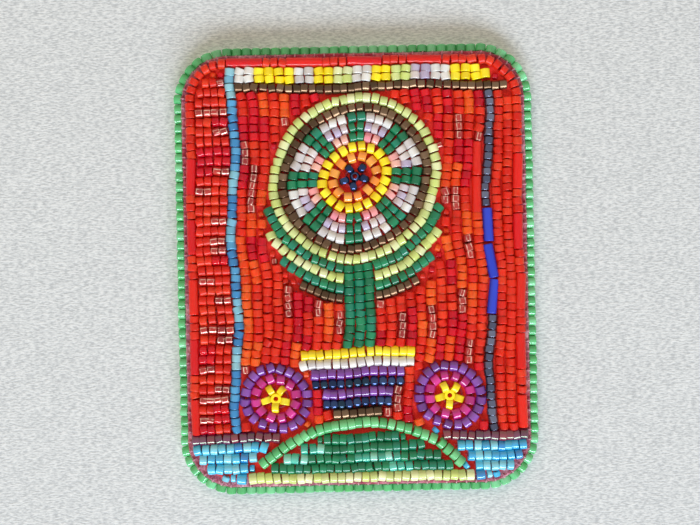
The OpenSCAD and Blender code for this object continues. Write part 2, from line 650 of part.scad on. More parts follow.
// Takes the places in turn and keeps those that are apart from the ones kept before
function thinned(places, i = 0, kept = []) =
    i == len(places) ? kept
        : let (b = places[i], fits = apart_from_all(b, near([b[0], b[1]], kept, near_d), filler_r))
          thinned(places, i + 1, fits ? concat(kept, [b]) : kept);
function filler_tone(b, i) =
    norm([b[0], b[1]] - mound_c) < mound_in_r ? "mound"
        : b[1] < low_y ? "corner" : field_tone(i, b[1]);
function fillers() =
    let (beads = thinned(bare_places(strung_beads())))
    [for (i = [0:1:len(beads) - 1]) concat(beads[i], filler_tone(beads[i], i))];

// Stands the flat panel upright, with the pin stem's axis through the origin
module in_frame() rotate([90, 0, 0]) translate([0, -pin_y, stem_z]) children();

module panel_outline(inset) {
    r = corner_r - inset;
    square([2 * side_x, 2 * (half_h - inset)], center = true);
    square([2 * (half_w - inset), 2 * side_y], center = true);
    for (x = [-side_x, side_x], y = [-side_y, side_y])
        translate([x, y]) circle(r);
}

// A drilled glass tube with bevelled ends, its hole along z; size makes it thinner than usual
module drilled_bead(l, size = 1) {
    r = size * bead_r;
    hole_r = size * bead_hole / 2;
    bevel = size * bead_bevel;
    rotate_extrude()
        polygon([
            [hole_r, -l / 2], [r - bevel, -l / 2], [r, bevel - l / 2],
            [r, l / 2 - bevel], [r - bevel, l / 2], [hole_r, l / 2]
        ]);
}

// A round bead: a barrel cut from a ball
module round_bead(l) {
    rotate_extrude()
        intersection() {
            circle(bead_r);
            translate([bead_hole / 2, -l / 2]) square([bead_r, l]);
        }
}

module lay(b, z) translate([b[0], b[1], z]) rotate([0, 90, b[2]]) children();

module bead_set(beads, tint) {
    color(tint) in_frame()
        for (b = beads) lay(b, bead_z) drilled_bead(b[3]);
}

module round_bead_set(beads, tint) {
    color(tint) in_frame()
        for (b = beads) lay(b, bead_z) round_bead(b[3]);
}

// Small beads in bare spots, of the ones that carry the tone
filler_z = felt_top + seat_gap + filler_r;
module filler_set(tone, tint) {
    color(tint) in_frame()
        for (b = toned(fillers(), tone)) lay(b, filler_z) drilled_bead(filler_l, filler_size);
}

// A bead that stands on the felt with its hole towards the front
module standing_bead(c, tint) {
    color(tint) in_frame()
        translate([c[0], c[1], felt_top + seat_gap + bead_l / 2]) drilled_bead(bead_l);
}

// Beads of a list that carry the tone
function toned(beads, tone) = [for (b = beads) if (b[4] == tone) b];

// Panel
module leather_backing() color(leather_brown) in_frame() linear_extrude(leather_t) panel_outline(0);

module stiffener_card() color(card_grey) in_frame()
    translate([0, 0, leather_t]) linear_extrude(card_t) panel_outline(card_inset);

// The felt lies over the card and comes down to the leather all round it
module felt_base() color(felt_red) in_frame() difference() {
    translate([0, 0, leather_t]) linear_extrude(card_t + felt_t) panel_outline(0);
    linear_extrude(leather_t + card_t) panel_outline(card_inset - card_play);
}

// Point on the rectangle of corner centres, and the way out of the panel there
function edge_at(s) =
    s >= edge_half ? let (e = edge_at(s - edge_half)) [-e[0], e[1] + 180]
        : s < 2 * side_y ? [[side_x, s - side_y], 0]
        : s < 2 * side_y + edge_arc ? [[side_x, side_y], 90 * (s - 2 * side_y) / edge_arc]
        : s < edge_half - edge_arc ? [[side_x - (s - 2 * side_y - edge_arc), side_y], 90]
        : [[-side_x, side_y], 180 - 90 * (edge_half - s) / edge_arc];

edge_places = [for (i = [0:edge_count - 1]) edge_at((i + 0.5) * 2 * edge_half / edge_count)];
function out_of(e, d) = concat(e[0] + d * [cos(e[1]), sin(e[1])], e[1]);

module edging_beads() color(green) in_frame()
    for (e = edge_places)
        lay(out_of(e, corner_r + seat_gap + bead_l / 2), edge_z) drilled_bead(bead_l);

module edge_stitches() color(thread_red) in_frame()
    for (e = edge_places) {
        lay(out_of(e, corner_r - front_stitch_l), felt_top + seat_gap + thread_d / 2)
            cylinder(h = front_stitch_l, d = thread_d);
        lay(out_of(e, corner_r - back_stitch_l), -seat_gap - thread_d / 2)
            cylinder(h = back_stitch_l, d = thread_d);
    }

module thread_arc(c, r, from, to)
    translate([c[0], c[1], bead_z]) rotate(from)
        rotate_extrude(angle = to - from) translate([r, 0]) circle(d = thread_d);

module sewing_threads() color(thread_red) in_frame() {
    for (s = straight_strings, t = [string_thread(s)])
        lay(concat(t[0], t[1]), bead_z) cylinder(h = t[2], d = thread_d, center = true);
    for (s = curved_strings, t = arc_threads(s))
        thread_arc(t[0], t[1], t[2], t[3]);
    for (b = fillers())
        lay(b, filler_z) cylinder(h = filler_l, d = thread_d, center = true);
}

// Border, strips and band
module border_red_beads() bead_set(border_beads, vermilion);
module border_red_bugles() bead_set(border_bugles, bugle_red);
module left_rows_vermilion() bead_set(toned(left_bead_list, "vermilion"), vermilion);
module left_rows_cherry() bead_set(toned(left_bead_list, "cherry"), cherry);
module left_rows_glass() bead_set(toned(left_bead_list, "glass"), glass_red);
module stripe_sky() bead_set(toned(stripe_beads, "sky"), sky);
module stripe_blue() bead_set(toned(stripe_beads, "blue"), blue);
module band_white() bead_set(toned(band_bead_list, "white"), white);
module band_yellow() bead_set(toned(band_bead_list, "yellow"), yellow);
module band_lime() bead_set(toned(band_bead_list, "lime"), lime);
module band_lilac() bead_set(toned(band_bead_list, "lilac"), lilac);
module band_line_brown() bead_set(all_beads(band_line), brown);
module line_gunmetal() bead_set(all_beads(line_lines), gunmetal);
module line_cobalt_bugles() bead_set(line_bugle_list, cobalt);
module right_rows_red() bead_set(all_beads(right_lines), vermilion);

// Field
module field_vermilion() {
    bead_set(toned(field_bead_list, "vermilion"), vermilion);
    filler_set("vermilion", vermilion);
}
module field_cherry() {
    bead_set(toned(field_bead_list, "cherry"), cherry);
    filler_set("cherry", cherry);
}
module field_orange() {
    bead_set(toned(field_bead_list, "orange"), orange_red);
    filler_set("orange", orange_red);
}
module field_glass() {
    bead_set(toned(field_bead_list, "glass"), glass_red);
    filler_set("glass", glass_red);
}
module field_red_bugles() bead_set(field_bugle_list, bugle_red);

// Flower
module flower_halo_lime() bead_set(toned(flower_beads, "halo"), lime);
module flower_outline_brown() bead_set(toned(flower_beads, "outline"), brown);
module flower_petals_white() bead_set(toned(flower_beads, "white"), white);
module flower_petals_lilac() bead_set(toned(flower_beads, "lilac"), lilac);
module flower_petals_pink() bead_set(toned(flower_beads, "pink"), pink);
module flower_gaps_emerald() bead_set(toned(flower_beads, "gap"), emerald);
module flower_ring_yellow() bead_set(toned(flower_beads, "yellow"), yellow);
module flower_ring_orange() bead_set(toned(flower_beads, "orange"), orange);
module flower_core_navy() {
    round_bead_set(toned(flower_beads, "core"), navy);
    standing_bead(flower_c, navy);
}

// Buds
module bud_rims_purple() bead_set(toned(bud_bead_list, "rim"), purple);
module bud_petals_magenta() bead_set(toned(bud_bead_list, "petal"), magenta);
module bud_centres_yellow() {
    bead_set(toned(bud_bead_list, "centre"), yellow);
    for (c = bud_centres) standing_bead(c, yellow);
}

// Stem and leaves
module stem_emerald() bead_set(all_beads(stem_lines), emerald);
module leaf_outlines_brown() bead_set(toned(leaf_bead_list, "outline"), brown);
module leaf_blades_emerald() bead_set(toned(leaf_bead_list, "blade"), emerald);
module leaf_veins_lime() bead_set(toned(leaf_bead_list, "vein"), lime);

// Bowl
module bowl_foot_brown() bead_set(toned(bowl_bead_list, "foot"), brown);
module bowl_body_purple() bead_set(toned(bowl_bead_list, "purple"), purple);
module bowl_body_navy() round_bead_set(toned(bowl_bead_list, "navy"), navy);
module bowl_rim_white() bead_set(toned(bowl_bead_list, "white"), white);
module bowl_rim_yellow() bead_set(toned(bowl_bead_list, "yellow"), yellow);

// Mound and corners
module mound_crest_green() bead_set(arc_beads(crest), green);
module mound_emerald() {
    bead_set(toned(mound_beads, "emerald"), emerald);
    filler_set("mound", emerald);
}
module mound_teal() bead_set(toned(mound_beads, "teal"), teal);
module mound_base_lime() bead_set(string_beads(base_line), lime);
module corner_rows_aqua() {
    bead_set(all_beads(corner_lines), aqua);
    filler_set("corner", aqua);
}
module corner_lines_burgundy() bead_set(all_beads(corner_tops), burgundy);

// Brooch pin, seen from behind: its pieces stand off the leather towards -z of the flat panel
module on_pin() in_frame() translate([0, pin_y, 0]) mirror([0, 0, 1]) children();

// A cylinder along x at the stem's height
module along(x, l, r) translate([x, 0, stem_z]) rotate([0, 90, 0]) cylinder(h = l, r = r);

// A cylinder across the bar at the hinge
module across(y, l, r)
    translate([hinge_x, y, stem_z]) rotate([-90, 0, 0]) cylinder(h = l, r = r);

module hinge_ear(y) {
    across(y, ear_t, ear_r);
    translate([hinge_x - ear_r, y, 0]) cube([2 * ear_r, ear_t, stem_z]);
}

// Place of a sewing hole along the bar
function hole_x(i) = (i - (bar_holes - 1) / 2) * bar_hole_pitch;

module pin_bar() color(steel) on_pin() difference() {
    union() {
        translate([-bar_l / 2, -bar_w / 2, 0]) cube([bar_l, bar_w, bar_t]);
        hinge_ear(ear_in);
        hinge_ear(-ear_out);
    }
    across(-ear_out - play, 2 * (ear_out + play), rivet_r + play / 2);
    for (i = [0:bar_holes - 1])
        translate([hole_x(i), 0, -bar_t]) cylinder(h = 3 * bar_t, d = bar_hole_d);
}

module hinge_rivet() color(steel) on_pin() {
    across(-ear_out - rivet_head_t, 2 * (ear_out + rivet_head_t), rivet_r);
    for (y = [-ear_out - rivet_head_t, ear_out])
        across(y, rivet_head_t, rivet_head_d / 2);
}

module pin_stem() color(steel) on_pin() difference() {
    union() {
        across(-eye_w / 2, eye_w, eye_d / 2);
        along(hinge_x, root_l, root_d / 2);
        along(wire_x, wire_l, pin_r);
        translate([taper_x, 0, stem_z]) rotate([0, 90, 0])
            cylinder(h = point_x - point_l - taper_x, r1 = pin_r, r2 = point_d / 2);
        translate([point_x - point_l, 0, stem_z]) rotate([0, 90, 0])
            cylinder(h = point_l, d1 = point_d, d2 = tip_d);
    }
    across(-eye_w, 2 * eye_w, rivet_r + play);
}

// The slot that lets the stem in from behind
module slot(x, l) translate([x, -slot_w / 2, stem_z]) cube([l, slot_w, far]);

module catch_tube() color(steel) on_pin() difference() {
    union() {
        along(catch_x, catch_l, catch_r);
        translate([catch_x, -foot_w / 2, bar_t]) cube([catch_l, foot_w, stem_z - bar_t]);
    }
    along(catch_x - play, catch_l + 2 * play, lock_r + play);
    slot(catch_x - play, catch_l + 2 * play);
}

// The lock turns inside the catch tube, held by a rim at each end; the outer rim has the thumb tab
module catch_lock() color(steel) on_pin() difference() {
    union() {
        along(catch_x - play - rim_t, catch_l + 2 * play + rim_t + tab_t, lock_r);
        along(catch_x - play - rim_t, rim_t, rim_r);
        along(catch_x + catch_l + play, tab_t, rim_r);
        translate([catch_x + catch_l + play, 0, stem_z - rim_r / 2])
            cube([tab_t, tab_reach - rim_r / 2, rim_r]);
        translate([catch_x + catch_l + play, tab_reach - rim_r / 2, stem_z]) rotate([0, 90, 0])
            cylinder(h = tab_t, r = rim_r / 2);
    }
    along(catch_x - far / 2, far, lock_bore_r);
    slot(catch_x - far / 2, far);
}

// Loops of thread from each hole over the bar's edges to the leather
module bar_stitches() color(thread_black) on_pin()
    for (i = [0:bar_holes - 1], k = [0:stitch_strands - 1], turn = [0, 180])
        translate([hole_x(i) + (k - (stitch_strands - 1) / 2) * stitch_pitch, 0, 0])
            rotate(turn) translate([0, stitch_in + stitch_r, 0]) rotate([90, 0, 90])
                rotate_extrude(angle = 180) translate([stitch_r, 0]) circle(d = bar_thread_d);

leather_backing();
stiffener_card();
felt_base();
edging_beads();
edge_stitches();
sewing_threads();
border_red_beads();
border_red_bugles();
left_rows_vermilion();
left_rows_cherry();
left_rows_glass();
stripe_sky();
stripe_blue();
band_white();
band_yellow();
band_lime();
band_lilac();
band_line_brown();
field_vermilion();
field_cherry();
field_orange();
field_glass();
field_red_bugles();
line_gunmetal();
line_cobalt_bugles();
right_rows_red();
flower_halo_lime();
flower_outline_brown();
flower_petals_white();
flower_petals_lilac();
flower_petals_pink();
flower_gaps_emerald();
flower_ring_yellow();
flower_ring_orange();
flower_core_navy();
bud_rims_purple();
bud_petals_magenta();
bud_centres_yellow();
stem_emerald();
leaf_outlines_brown();
leaf_blades_emerald();
leaf_veins_lime();
bowl_foot_brown();
bowl_body_purple();
bowl_body_navy();
bowl_rim_white();
bowl_rim_yellow();
mound_crest_green();
mound_emerald();
mound_teal();
mound_base_lime();
corner_rows_aqua();
corner_lines_burgundy();
pin_bar();
hinge_rivet();
pin_stem();
catch_tube();
catch_lock();
bar_stitches();
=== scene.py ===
"""Looks of the bead-embroidered brooch: hand-sewn glass beads, felt, leather, thread and a steel pin.

Every bead is made again, with rounded ends, at the place of its solid in the frame.
The front faces -Y and +Z is up. Lengths are in metres.
"""
import json
import math
import random

import bpy
import numpy as np
from mathutils import Matrix, Vector


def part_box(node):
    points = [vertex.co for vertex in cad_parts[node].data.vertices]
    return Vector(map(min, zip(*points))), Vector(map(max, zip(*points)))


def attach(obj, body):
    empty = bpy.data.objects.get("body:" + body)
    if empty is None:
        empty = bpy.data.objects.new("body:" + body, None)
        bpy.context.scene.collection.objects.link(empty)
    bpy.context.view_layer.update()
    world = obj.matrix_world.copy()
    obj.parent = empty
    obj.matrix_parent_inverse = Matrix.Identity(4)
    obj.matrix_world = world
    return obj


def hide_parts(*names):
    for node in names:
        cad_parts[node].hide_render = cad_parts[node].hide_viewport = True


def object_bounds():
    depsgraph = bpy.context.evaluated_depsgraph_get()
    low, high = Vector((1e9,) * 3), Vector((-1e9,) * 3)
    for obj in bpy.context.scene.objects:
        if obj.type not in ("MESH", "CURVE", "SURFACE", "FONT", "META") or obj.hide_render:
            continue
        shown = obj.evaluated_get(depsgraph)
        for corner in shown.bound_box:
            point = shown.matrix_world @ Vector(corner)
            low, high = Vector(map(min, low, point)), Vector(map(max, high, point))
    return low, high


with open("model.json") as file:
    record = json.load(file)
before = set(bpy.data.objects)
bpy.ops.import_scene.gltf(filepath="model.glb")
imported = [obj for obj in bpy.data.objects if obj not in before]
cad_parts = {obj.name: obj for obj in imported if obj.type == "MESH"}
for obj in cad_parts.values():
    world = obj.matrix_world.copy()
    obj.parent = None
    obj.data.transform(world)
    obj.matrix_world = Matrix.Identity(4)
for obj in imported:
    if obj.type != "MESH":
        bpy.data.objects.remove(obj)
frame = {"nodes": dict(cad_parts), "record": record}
cad_low, cad_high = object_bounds()

MM = 0.001
FRONT = np.array([0.0, -1.0, 0.0])
SLOT_OF = {part["node"]: part["material_slot"] for part in frame["record"]["subparts"]}

# Form of the beads
BEAD_SIDES = 24
BEAD_RIM = 0.17 * MM
BEAD_LIP = 0.05 * MM
# Beads with this finish are balls, which reach a share of the solid's length
BALL_FINISH = "navy_glass"
BALL_REACH = 0.97
BALL_STEPS = 7
# Points of a solid that lie closer than this are one
WELD = 0.001 * MM
# The direction of every hole is the one of its two that points to this side
AXIS_SIDE = (0.9, 0.5, 0.4)
# A hole is taken to point to the front where its direction across comes out shorter than this
LEAST_ACROSS = 0.1

# How far sewing by hand moves a bead: degrees, and shares of its size
TURN_DEG = 6.5
TILT_DEG = 4.5
WIDTHS = (1.0, 1.07)
LENGTHS = (0.92, 1.03)
PROUD = 0.14 * MM
SHIFT = 0.075 * MM
# Wander of the rows, as (how far, over what length). It fades towards the panel's outline
WANDERS = ((0.46 * MM, 29 * MM), (0.13 * MM, 9.5 * MM))
WANDER_FADE = 6 * MM
# Share of the fade, next to the outline, where the rows don't wander
WANDER_STILL = 0.3
# How far the sideways and upward waves bend each other, and how far they go upwards for one sideways
WANDER_BEND = 0.6
WANDER_UPWARDS = 0.6
# The level and round rows of these motifs hold wider beads, which close the gaps between the rows
ROW_SWELLS = {
    "mound": 1.12, "corner": 1.12, "bowl": 1.1, "bud": 1.07, "flower": 1.06, "leaf": 1.06, "stem": 1.04,
}
EDGING_TURN_DEG = 2.0
EDGING_TILT_DEG = 3.0
EDGING_SWELLS = (1.02, 1.06)
CORNER_SWELL = 0.13

# Colour of the glass: how much lighter or darker each bead and its streaks are, and the streaks' scale
TONE_SPREAD = (0.88, 1.1)
STREAK_SPREAD = (0.86, 1.14)
STREAK_SCALE = (5.0, 5.0, 0.7)
# Each bead takes its streaks from its own place within this reach
GRAIN_REACH = 50
# Roughness of the glass's skin where it is clean and where it is smeared, as shares of its usual one
SMEARS = (0.6, 1.6)
SKIN_DEPTH = 0.02 * MM
# Share of a drawn line's width within which it is full
LINE_CORE = 0.3

# Frame of painted glints, standing in for the light that the lining of a silvered bead reflects, as shares
# of the bead's half width and half length
FRAME_ACROSS = (0.26, 0.52)
FRAME_ALONG = 0.76
FRAME_WIDTH = 0.125
FRAME_END_WIDTH = FRAME_WIDTH * 0.6
# Colour of the painted glints
PAINTED_GLINT_TONE = "f8d0b6"
# Painted glints along the frame before they are cut to between 0 and 1, and the surface without and with a
# full painted glint
PAINTED_GLINT_SPREAD = (-1.9, 3.0)
FRAME_METAL = (0.25, 0.6)
FRAME_ROUGHNESS = (0.22, 0.42)

# Cloth
CORNER_R = 8 * MM
OUTLINE_STEPS = 14
CORNER_STEPS = 20
EDGE_STEPS = 4
CLOTH_SEED = 7
# The rings in the middle of a sheet have this inset, and are scaled down from there
INNER_INSET = 6 * MM
# Insets in millimetres and scales of the felt's rings, from the middle of its front to that of its back
FELT_FRONT_SCALES = (0.1, 0.4, 0.7, 0.9)
FELT_SWOLLEN_INSETS = (6, 4, 2.6, 2.0)
FELT_FLAT_INSETS = (1.5, 1.1, 0.9, 0.7)
FELT_BACK_SCALES = (1.0, 0.5, 0.1)
FELT_EDGE = 0.45 * MM
FELT_SOFTNESS = 0.045 * MM
# The felt swells up between the beads, which are drawn down into it
FELT_SWELL = 0.72 * MM
# Width of the open rim, where the felt is mauve with pale stretches of painted sheen
FELT_RIM = 1.2 * MM
# The same for the leather
LEATHER_FRONT_SCALES = (0.1, 0.5, 0.9)
LEATHER_INSETS = (0.8, 1.4, 2.0, 2.6, 4, 6)
LEATHER_BACK_SCALES = (0.9, 0.75, 0.6, 0.45, 0.3, 0.15)
LEATHER_EDGE = 0.3 * MM
LEATHER_SOFTNESS = 0.05 * MM / 3

# Loose fibres of the felt. Insets and lengths are in millimetres, bends and lifts are shares of the length
FIBRE_COUNT = 2600
FIBRE_SIDES = 3
FIBRE_RADIUS = 0.026 * MM
FIBRE_INSETS = (0.2, 1.0)
FIBRE_LENGTHS = (0.25, 0.7)
FIBRE_BEND = 0.35
FIBRE_LIFTS = (0.05, 0.4)
FIBRE_RINGS = (0.35, 0.7)

# Thread
PLY_SIDES = 8
PLY_TWIST = 0.55 * MM
PLY_LOBE = 0.2
# A direction that no thread follows
PLY_START = (0.31, 0.52, 0.79)
LOOP_STEPS = 16
STITCH_STEPS = 10
STITCH_SLANT = 0.12
STITCH_LENGTHS = (0.85, 1.0)
# Share of a stitch that dives into the cloth, and its rise and depth in radii of the thread
STITCH_DIVE = 0.3
STITCH_RISE = 0.5
STITCH_DEPTH = 3.2

# Steel. Faces that meet at less than the flat angle become one, and sharp edges are rounded
FLAT_DEG = 0.5
SHARP_DEG = 35
STEEL_EDGE = 0.06 * MM
STEEL_EDGE_STEPS = 2

# The brooch lies on a pale sheet, which has an opening for the pin
TABLE_GAP = 0.3 * MM
TABLE_SCALE = 2.6
OPENING_INSET = 1 * MM

# World
FILL_TONE = "c6bcac"
FILL_STRENGTH = 0.58
PALE_TONE = "dcdddf"

# Camera, with the picture 700 pixels wide and 525 high
PICTURE_W = 700
PICTURE_H = 525
PANEL_AT_PIXEL = (356, 269)
PIXELS_PER_MM = 5.9
LENS_MM = 50
SENSOR_MM = 36
CLIP_START = 5 * MM
ROLL_DEG = 1.2


# Shader trees

def rgb(code):
    """Linear colour from six hexadecimal digits."""
    parts = [int(code[i:i + 2], 16) / 255 for i in (0, 2, 4)]
    return [p / 12.92 if p <= 0.04045 else ((p + 0.055) / 1.055) ** 2.4 for p in parts] + [1.0]


class Shader:
    """A material with one principled surface, and short ways to add nodes to it."""

    def __init__(self, name, **surface):
        self.material = bpy.data.materials.new(name)
        self.material.use_nodes = True
        self.tree = self.material.node_tree
        self.surface = self.tree.nodes["Principled BSDF"]
        for socket, value in surface.items():
            self.put(socket, value)

    def put(self, socket, value):
        """Sets a socket of the surface; coat_weight stands for Coat Weight."""
        self.join(self.surface.inputs[SOCKETS.get(socket, socket.replace("_", " ").title())], value)

    def join(self, socket, value):
        """Links a socket to a node's output, or sets it to a constant."""
        if isinstance(value, bpy.types.NodeSocket):
            self.tree.links.new(value, socket)
        else:
            socket.default_value = value

    def add(self, kind, sockets, output=0, **settings):
        """Adds a node and gives one of its outputs."""
        node = self.tree.nodes.new("ShaderNode" + kind)
        for name, value in settings.items():
            setattr(node, name, value)
        for name, value in sockets.items():
            self.join(node.inputs[name], value)
        return node.outputs[output]

    def attribute(self, name, output):
        return self.add("Attribute", {}, output, attribute_name=name)

    def place(self):
        return self.add("TexCoord", {}, "Object")

    def stretched(self, vector, scale):
        return self.add("Mapping", {"Vector": vector, "Scale": scale})

    def noise(self, vector, scale, detail=2.0, roughness=0.5):
        sockets = {"Vector": vector, "Scale": scale, "Detail": detail, "Roughness": roughness}
        return self.add("TexNoise", sockets)

    def between(self, value, low, high):
        """A value from 0 to 1 moved to the range from low to high."""
        return self.add("MapRange", {"Value": value, "To Min": low, "To Max": high})

    def ramp(self, value, stops, interpolation="LINEAR"):
        """stops is [(place, colour)]."""
        output = self.add("ValToRGB", {"Fac": value})
        ramp = output.node.color_ramp
        ramp.interpolation = interpolation
        while len(ramp.elements) < len(stops):
            ramp.elements.new(0.5)
        for element, (place, colour) in zip(ramp.elements, stops):
            element.position = place
            element.color = colour
        return output

    def mix(self, factor, first, second):
        output = self.add("Mix", {}, 2, data_type="RGBA")
        inputs = output.node.inputs
        for index, value in ((0, factor), (6, first), (7, second)):
            self.join(inputs[index], value)
        return output

    def shaded(self, colour, value):
        """The colour made lighter or darker by a factor around 1."""
        return self.add("HueSaturation", {"Color": colour, "Value": value})

    def math(self, operation, first, second=0.0):
        return self.add("Math", {0: first, 1: second}, operation=operation)

    def line(self, value, place, width):
        """1 where the size of a value is at a place, falling to 0 at a width from it."""
        off = self.math("ABSOLUTE", self.math("SUBTRACT", self.math("ABSOLUTE", value), place))
        return self.add("MapRange", {"Value": off, "From Min": width, "From Max": width * LINE_CORE,
                                     "To Min": 0.0, "To Max": 1.0})

    def bump(self, height, depth, strength):
        self.put("normal", self.add("Bump", {"Height": height, "Distance": depth, "Strength": strength}))


# Sockets whose names have more capitals than their words' first letters
SOCKETS = {"thin_film_ior": "Thin Film IOR", "specular_ior_level": "Specular IOR Level"}


# Materials of the beads

def picked_tone(shader, tones):
    """One of the tones for each bead, a little lighter or darker, with streaks along the glass."""
    stops = [(i / len(tones), rgb(tone)) for i, tone in enumerate(tones)]
    tone = shader.attribute("tone", "Fac")
    grain = shader.attribute("grain", "Vector")
    colour = shader.ramp(tone, stops, "CONSTANT")
    own = shader.add("TexWhiteNoise", {"W": tone}, "Value", noise_dimensions="1D")
    streaks = shader.noise(shader.stretched(grain, STREAK_SCALE), 1.0, 3.0)
    colour = shader.shaded(colour, shader.between(own, *TONE_SPREAD))
    return shader.shaded(colour, shader.between(streaks, *STREAK_SPREAD)), grain


def glass(name, tones, gloss=0.16, **surface):
    """Glass with a fire-polished skin. gloss is its usual roughness."""
    shader = Shader(name, **surface)
    colour, grain = picked_tone(shader, tones)
    shader.put("base_color", colour)
    smears = shader.noise(grain, 1.7, 2.0)
    shader.put("roughness", shader.between(smears, *(gloss * share for share in SMEARS)))
    shader.bump(shader.noise(grain, 2.4, 2.0), SKIN_DEPTH, 0.5)
    return shader.material


def opal(name, tones):
    """Milky glass that light enters."""
    return glass(name, tones, 0.15, subsurface_weight=0.35, subsurface_radius=(1.0, 0.9, 0.85),
                 subsurface_scale=0.5 * MM, coat_weight=0.3)


def rainbow(name, tones):
    """Glass with a thin rainbow coat."""
    return glass(name, tones, 0.14, coat_weight=0.3, coat_roughness=0.06, specular_ior_level=0.6,
                 thin_film_thickness=420.0, thin_film_ior=1.7)


def metal_glaze(name, tones, gloss=0.15):
    """Glass fired with a metal skin."""
    return glass(name, tones, gloss, metallic=0.85, specular_ior_level=0.7)


def silver_lined(name, tones):
    """Clear red glass over a silvered square hole, drawn opaque: the light that the lining's edges reflect
    is painted into the base colour as a frame of pale glints inside the bead, more metallic and rougher
    there.
    """
    shader = Shader(name, coat_weight=0.8, coat_roughness=0.08)
    colour, grain = picked_tone(shader, tones)
    lie = shader.add("SeparateXYZ", {"Vector": shader.attribute("lie", "Vector")})
    across, along = (lie.node.outputs[i] for i in (0, 1))
    place = shader.between(shader.attribute("tone", "Fac"), *FRAME_ACROSS)
    inside = shader.math("LESS_THAN", shader.math("ABSOLUTE", across), place)
    ends = shader.math("MULTIPLY", shader.line(along, FRAME_ALONG, FRAME_END_WIDTH), inside)
    edges = shader.math("MAXIMUM", shader.line(across, place, FRAME_WIDTH), ends)
    specks = shader.noise(shader.stretched(grain, (1.0, 1.0, 0.4)), 3.0, 2.0)
    glints = shader.between(specks, *PAINTED_GLINT_SPREAD)
    # Painted reflection of the silvered lining: pale glints mixed into the base colour along the frame
    painted_gleam = shader.math("MINIMUM", shader.math("MAXIMUM", shader.math("MULTIPLY", edges, glints), 0.0), 1.0)
    shader.put("base_color", shader.mix(painted_gleam, colour, rgb(PAINTED_GLINT_TONE)))
    shader.put("metallic", shader.between(painted_gleam, *FRAME_METAL))
    shader.put("roughness", shader.between(painted_gleam, *FRAME_ROUGHNESS))
    return shader.material


def red_glass(name, tones, gloss):
    """Red glass that light enters, so that the gaps between the beads glow red too."""
    return glass(name, tones, gloss, subsurface_weight=0.8, subsurface_radius=(1.0, 0.12, 0.06),
                 subsurface_scale=1.2 * MM, specular_ior_level=0.3)


BEAD_LOOKS = {
    "mint_glass": opal("mint_glass", ["62bf7c", "58b873", "6cc686", "5cba72", "7bcf95"]),
    "vermilion_glass": red_glass("vermilion_glass", ["dc3018", "d62a16", "e23c1c", "d02412"], 0.3),
    "red_bugle_glass": red_glass("red_bugle_glass", ["de2218", "e42a1a", "d21a1e"], 0.13),
    "cherry_glass": red_glass("cherry_glass", ["c60c22", "ce1224", "ba0a20", "d21822"], 0.08),
    "orange_red_glass": red_glass("orange_red_glass", ["e85018", "e44616", "ec5c1e"], 0.3),
    "silver_lined_glass": silver_lined("silver_lined_glass", ["a81c16", "b8261a", "961612", "b02c20"]),
    "sky_glass": glass("sky_glass", ["78b4c6", "68a8c0", "8cc2ce", "70aec8"], 0.14, coat_weight=0.5),
    "blue_glass": glass("blue_glass", ["3284ba", "2c78b0", "4a96c4"], 0.14, coat_weight=0.5),
    "white_glass": opal("white_glass", ["dcd8d2", "d2cdc8", "cac4c2", "e0dfda"]),
    "yellow_glass": glass("yellow_glass", ["f6de1c", "f2d516", "f8e62e"]),
    "lime_glass": opal("lime_glass", ["d3dc92", "c6d283", "dfe3ac", "cad77a"]),
    "lilac_glass": opal("lilac_glass", ["c0b2c6", "d2c4c8", "b3a6bf", "d9cfcb"]),
    "brown_glass": metal_glaze("brown_glass", ["755a42", "684e38", "84684e", "5a442f"], 0.28),
    "gunmetal_glass": metal_glaze("gunmetal_glass", ["6a6e82", "5a5e74", "7a7e92"]),
    "cobalt_glass": glass("cobalt_glass", ["2a40c4", "2338b8", "3049cc"], 0.14),
    "pink_glass": opal("pink_glass", ["eba6a0", "e59592", "f0b8a8", "e58f9a"]),
    "emerald_glass": glass("emerald_glass", ["17764c", "146b45", "1c8054", "1a7a5c"], 0.2),
    "orange_glass": glass("orange_glass", ["f0912c", "ea8424", "f4a03c"], 0.14, coat_weight=0.6),
    "navy_glass": metal_glaze("navy_glass", ["34466c", "2a3a5c", "3f5278", "2c4254"]),
    "purple_glass": glass("purple_glass", ["743893", "68307f", "8146a0"], 0.14, coat_weight=0.5),
    "magenta_glass": glass("magenta_glass", ["c01c7c", "b01470", "cb2a88"], 0.14, coat_weight=0.5),
    "green_glass": glass("green_glass", ["62bd76", "58b26c", "74c885"]),
    "teal_glass": rainbow("teal_glass", ["2ea48e", "52b8a4", "80cbb8", "2a9a84"]),
    "aqua_glass": rainbow("aqua_glass", ["3cacda", "2ea0d6", "66c6e6", "2284c8", "7ccce2", "48bae0"]),
    "burgundy_glass": rainbow("burgundy_glass", ["74203f", "6a2a52", "842a44", "5c2448"]),
}


# Beads

def separate_solids(node):
    """Triangles of each separate solid of a CAD node, from the bottom up."""
    mesh = frame["nodes"][node].data
    corners = np.empty(len(mesh.vertices) * 3, np.float32)
    mesh.vertices.foreach_get("co", corners)
    mesh.calc_loop_triangles()
    faces = np.empty(len(mesh.loop_triangles) * 3, np.int32)
    mesh.loop_triangles.foreach_get("vertices", faces)
    cells = np.round(corners.reshape(-1, 3).astype(float) / WELD).astype(np.int64)
    places, welded = np.unique(cells, axis=0, return_inverse=True)
    faces = welded.ravel()[faces].reshape(-1, 3)
    label = np.arange(len(places))
    while True:
        lowest = label.copy()
        np.minimum.at(lowest, faces.ravel(), np.repeat(label[faces].min(axis=1), 3))
        lowest = lowest[lowest]
        if (lowest == label).all():
            break
        label = lowest
    owner = label[faces[:, 0]]
    solids = [places[faces[owner == island]] * WELD for island in np.unique(owner)]
    return sorted(solids, key=lambda solid: tuple(np.round(solid.mean(axis=(0, 1))[[2, 0]] / MM, 1)))


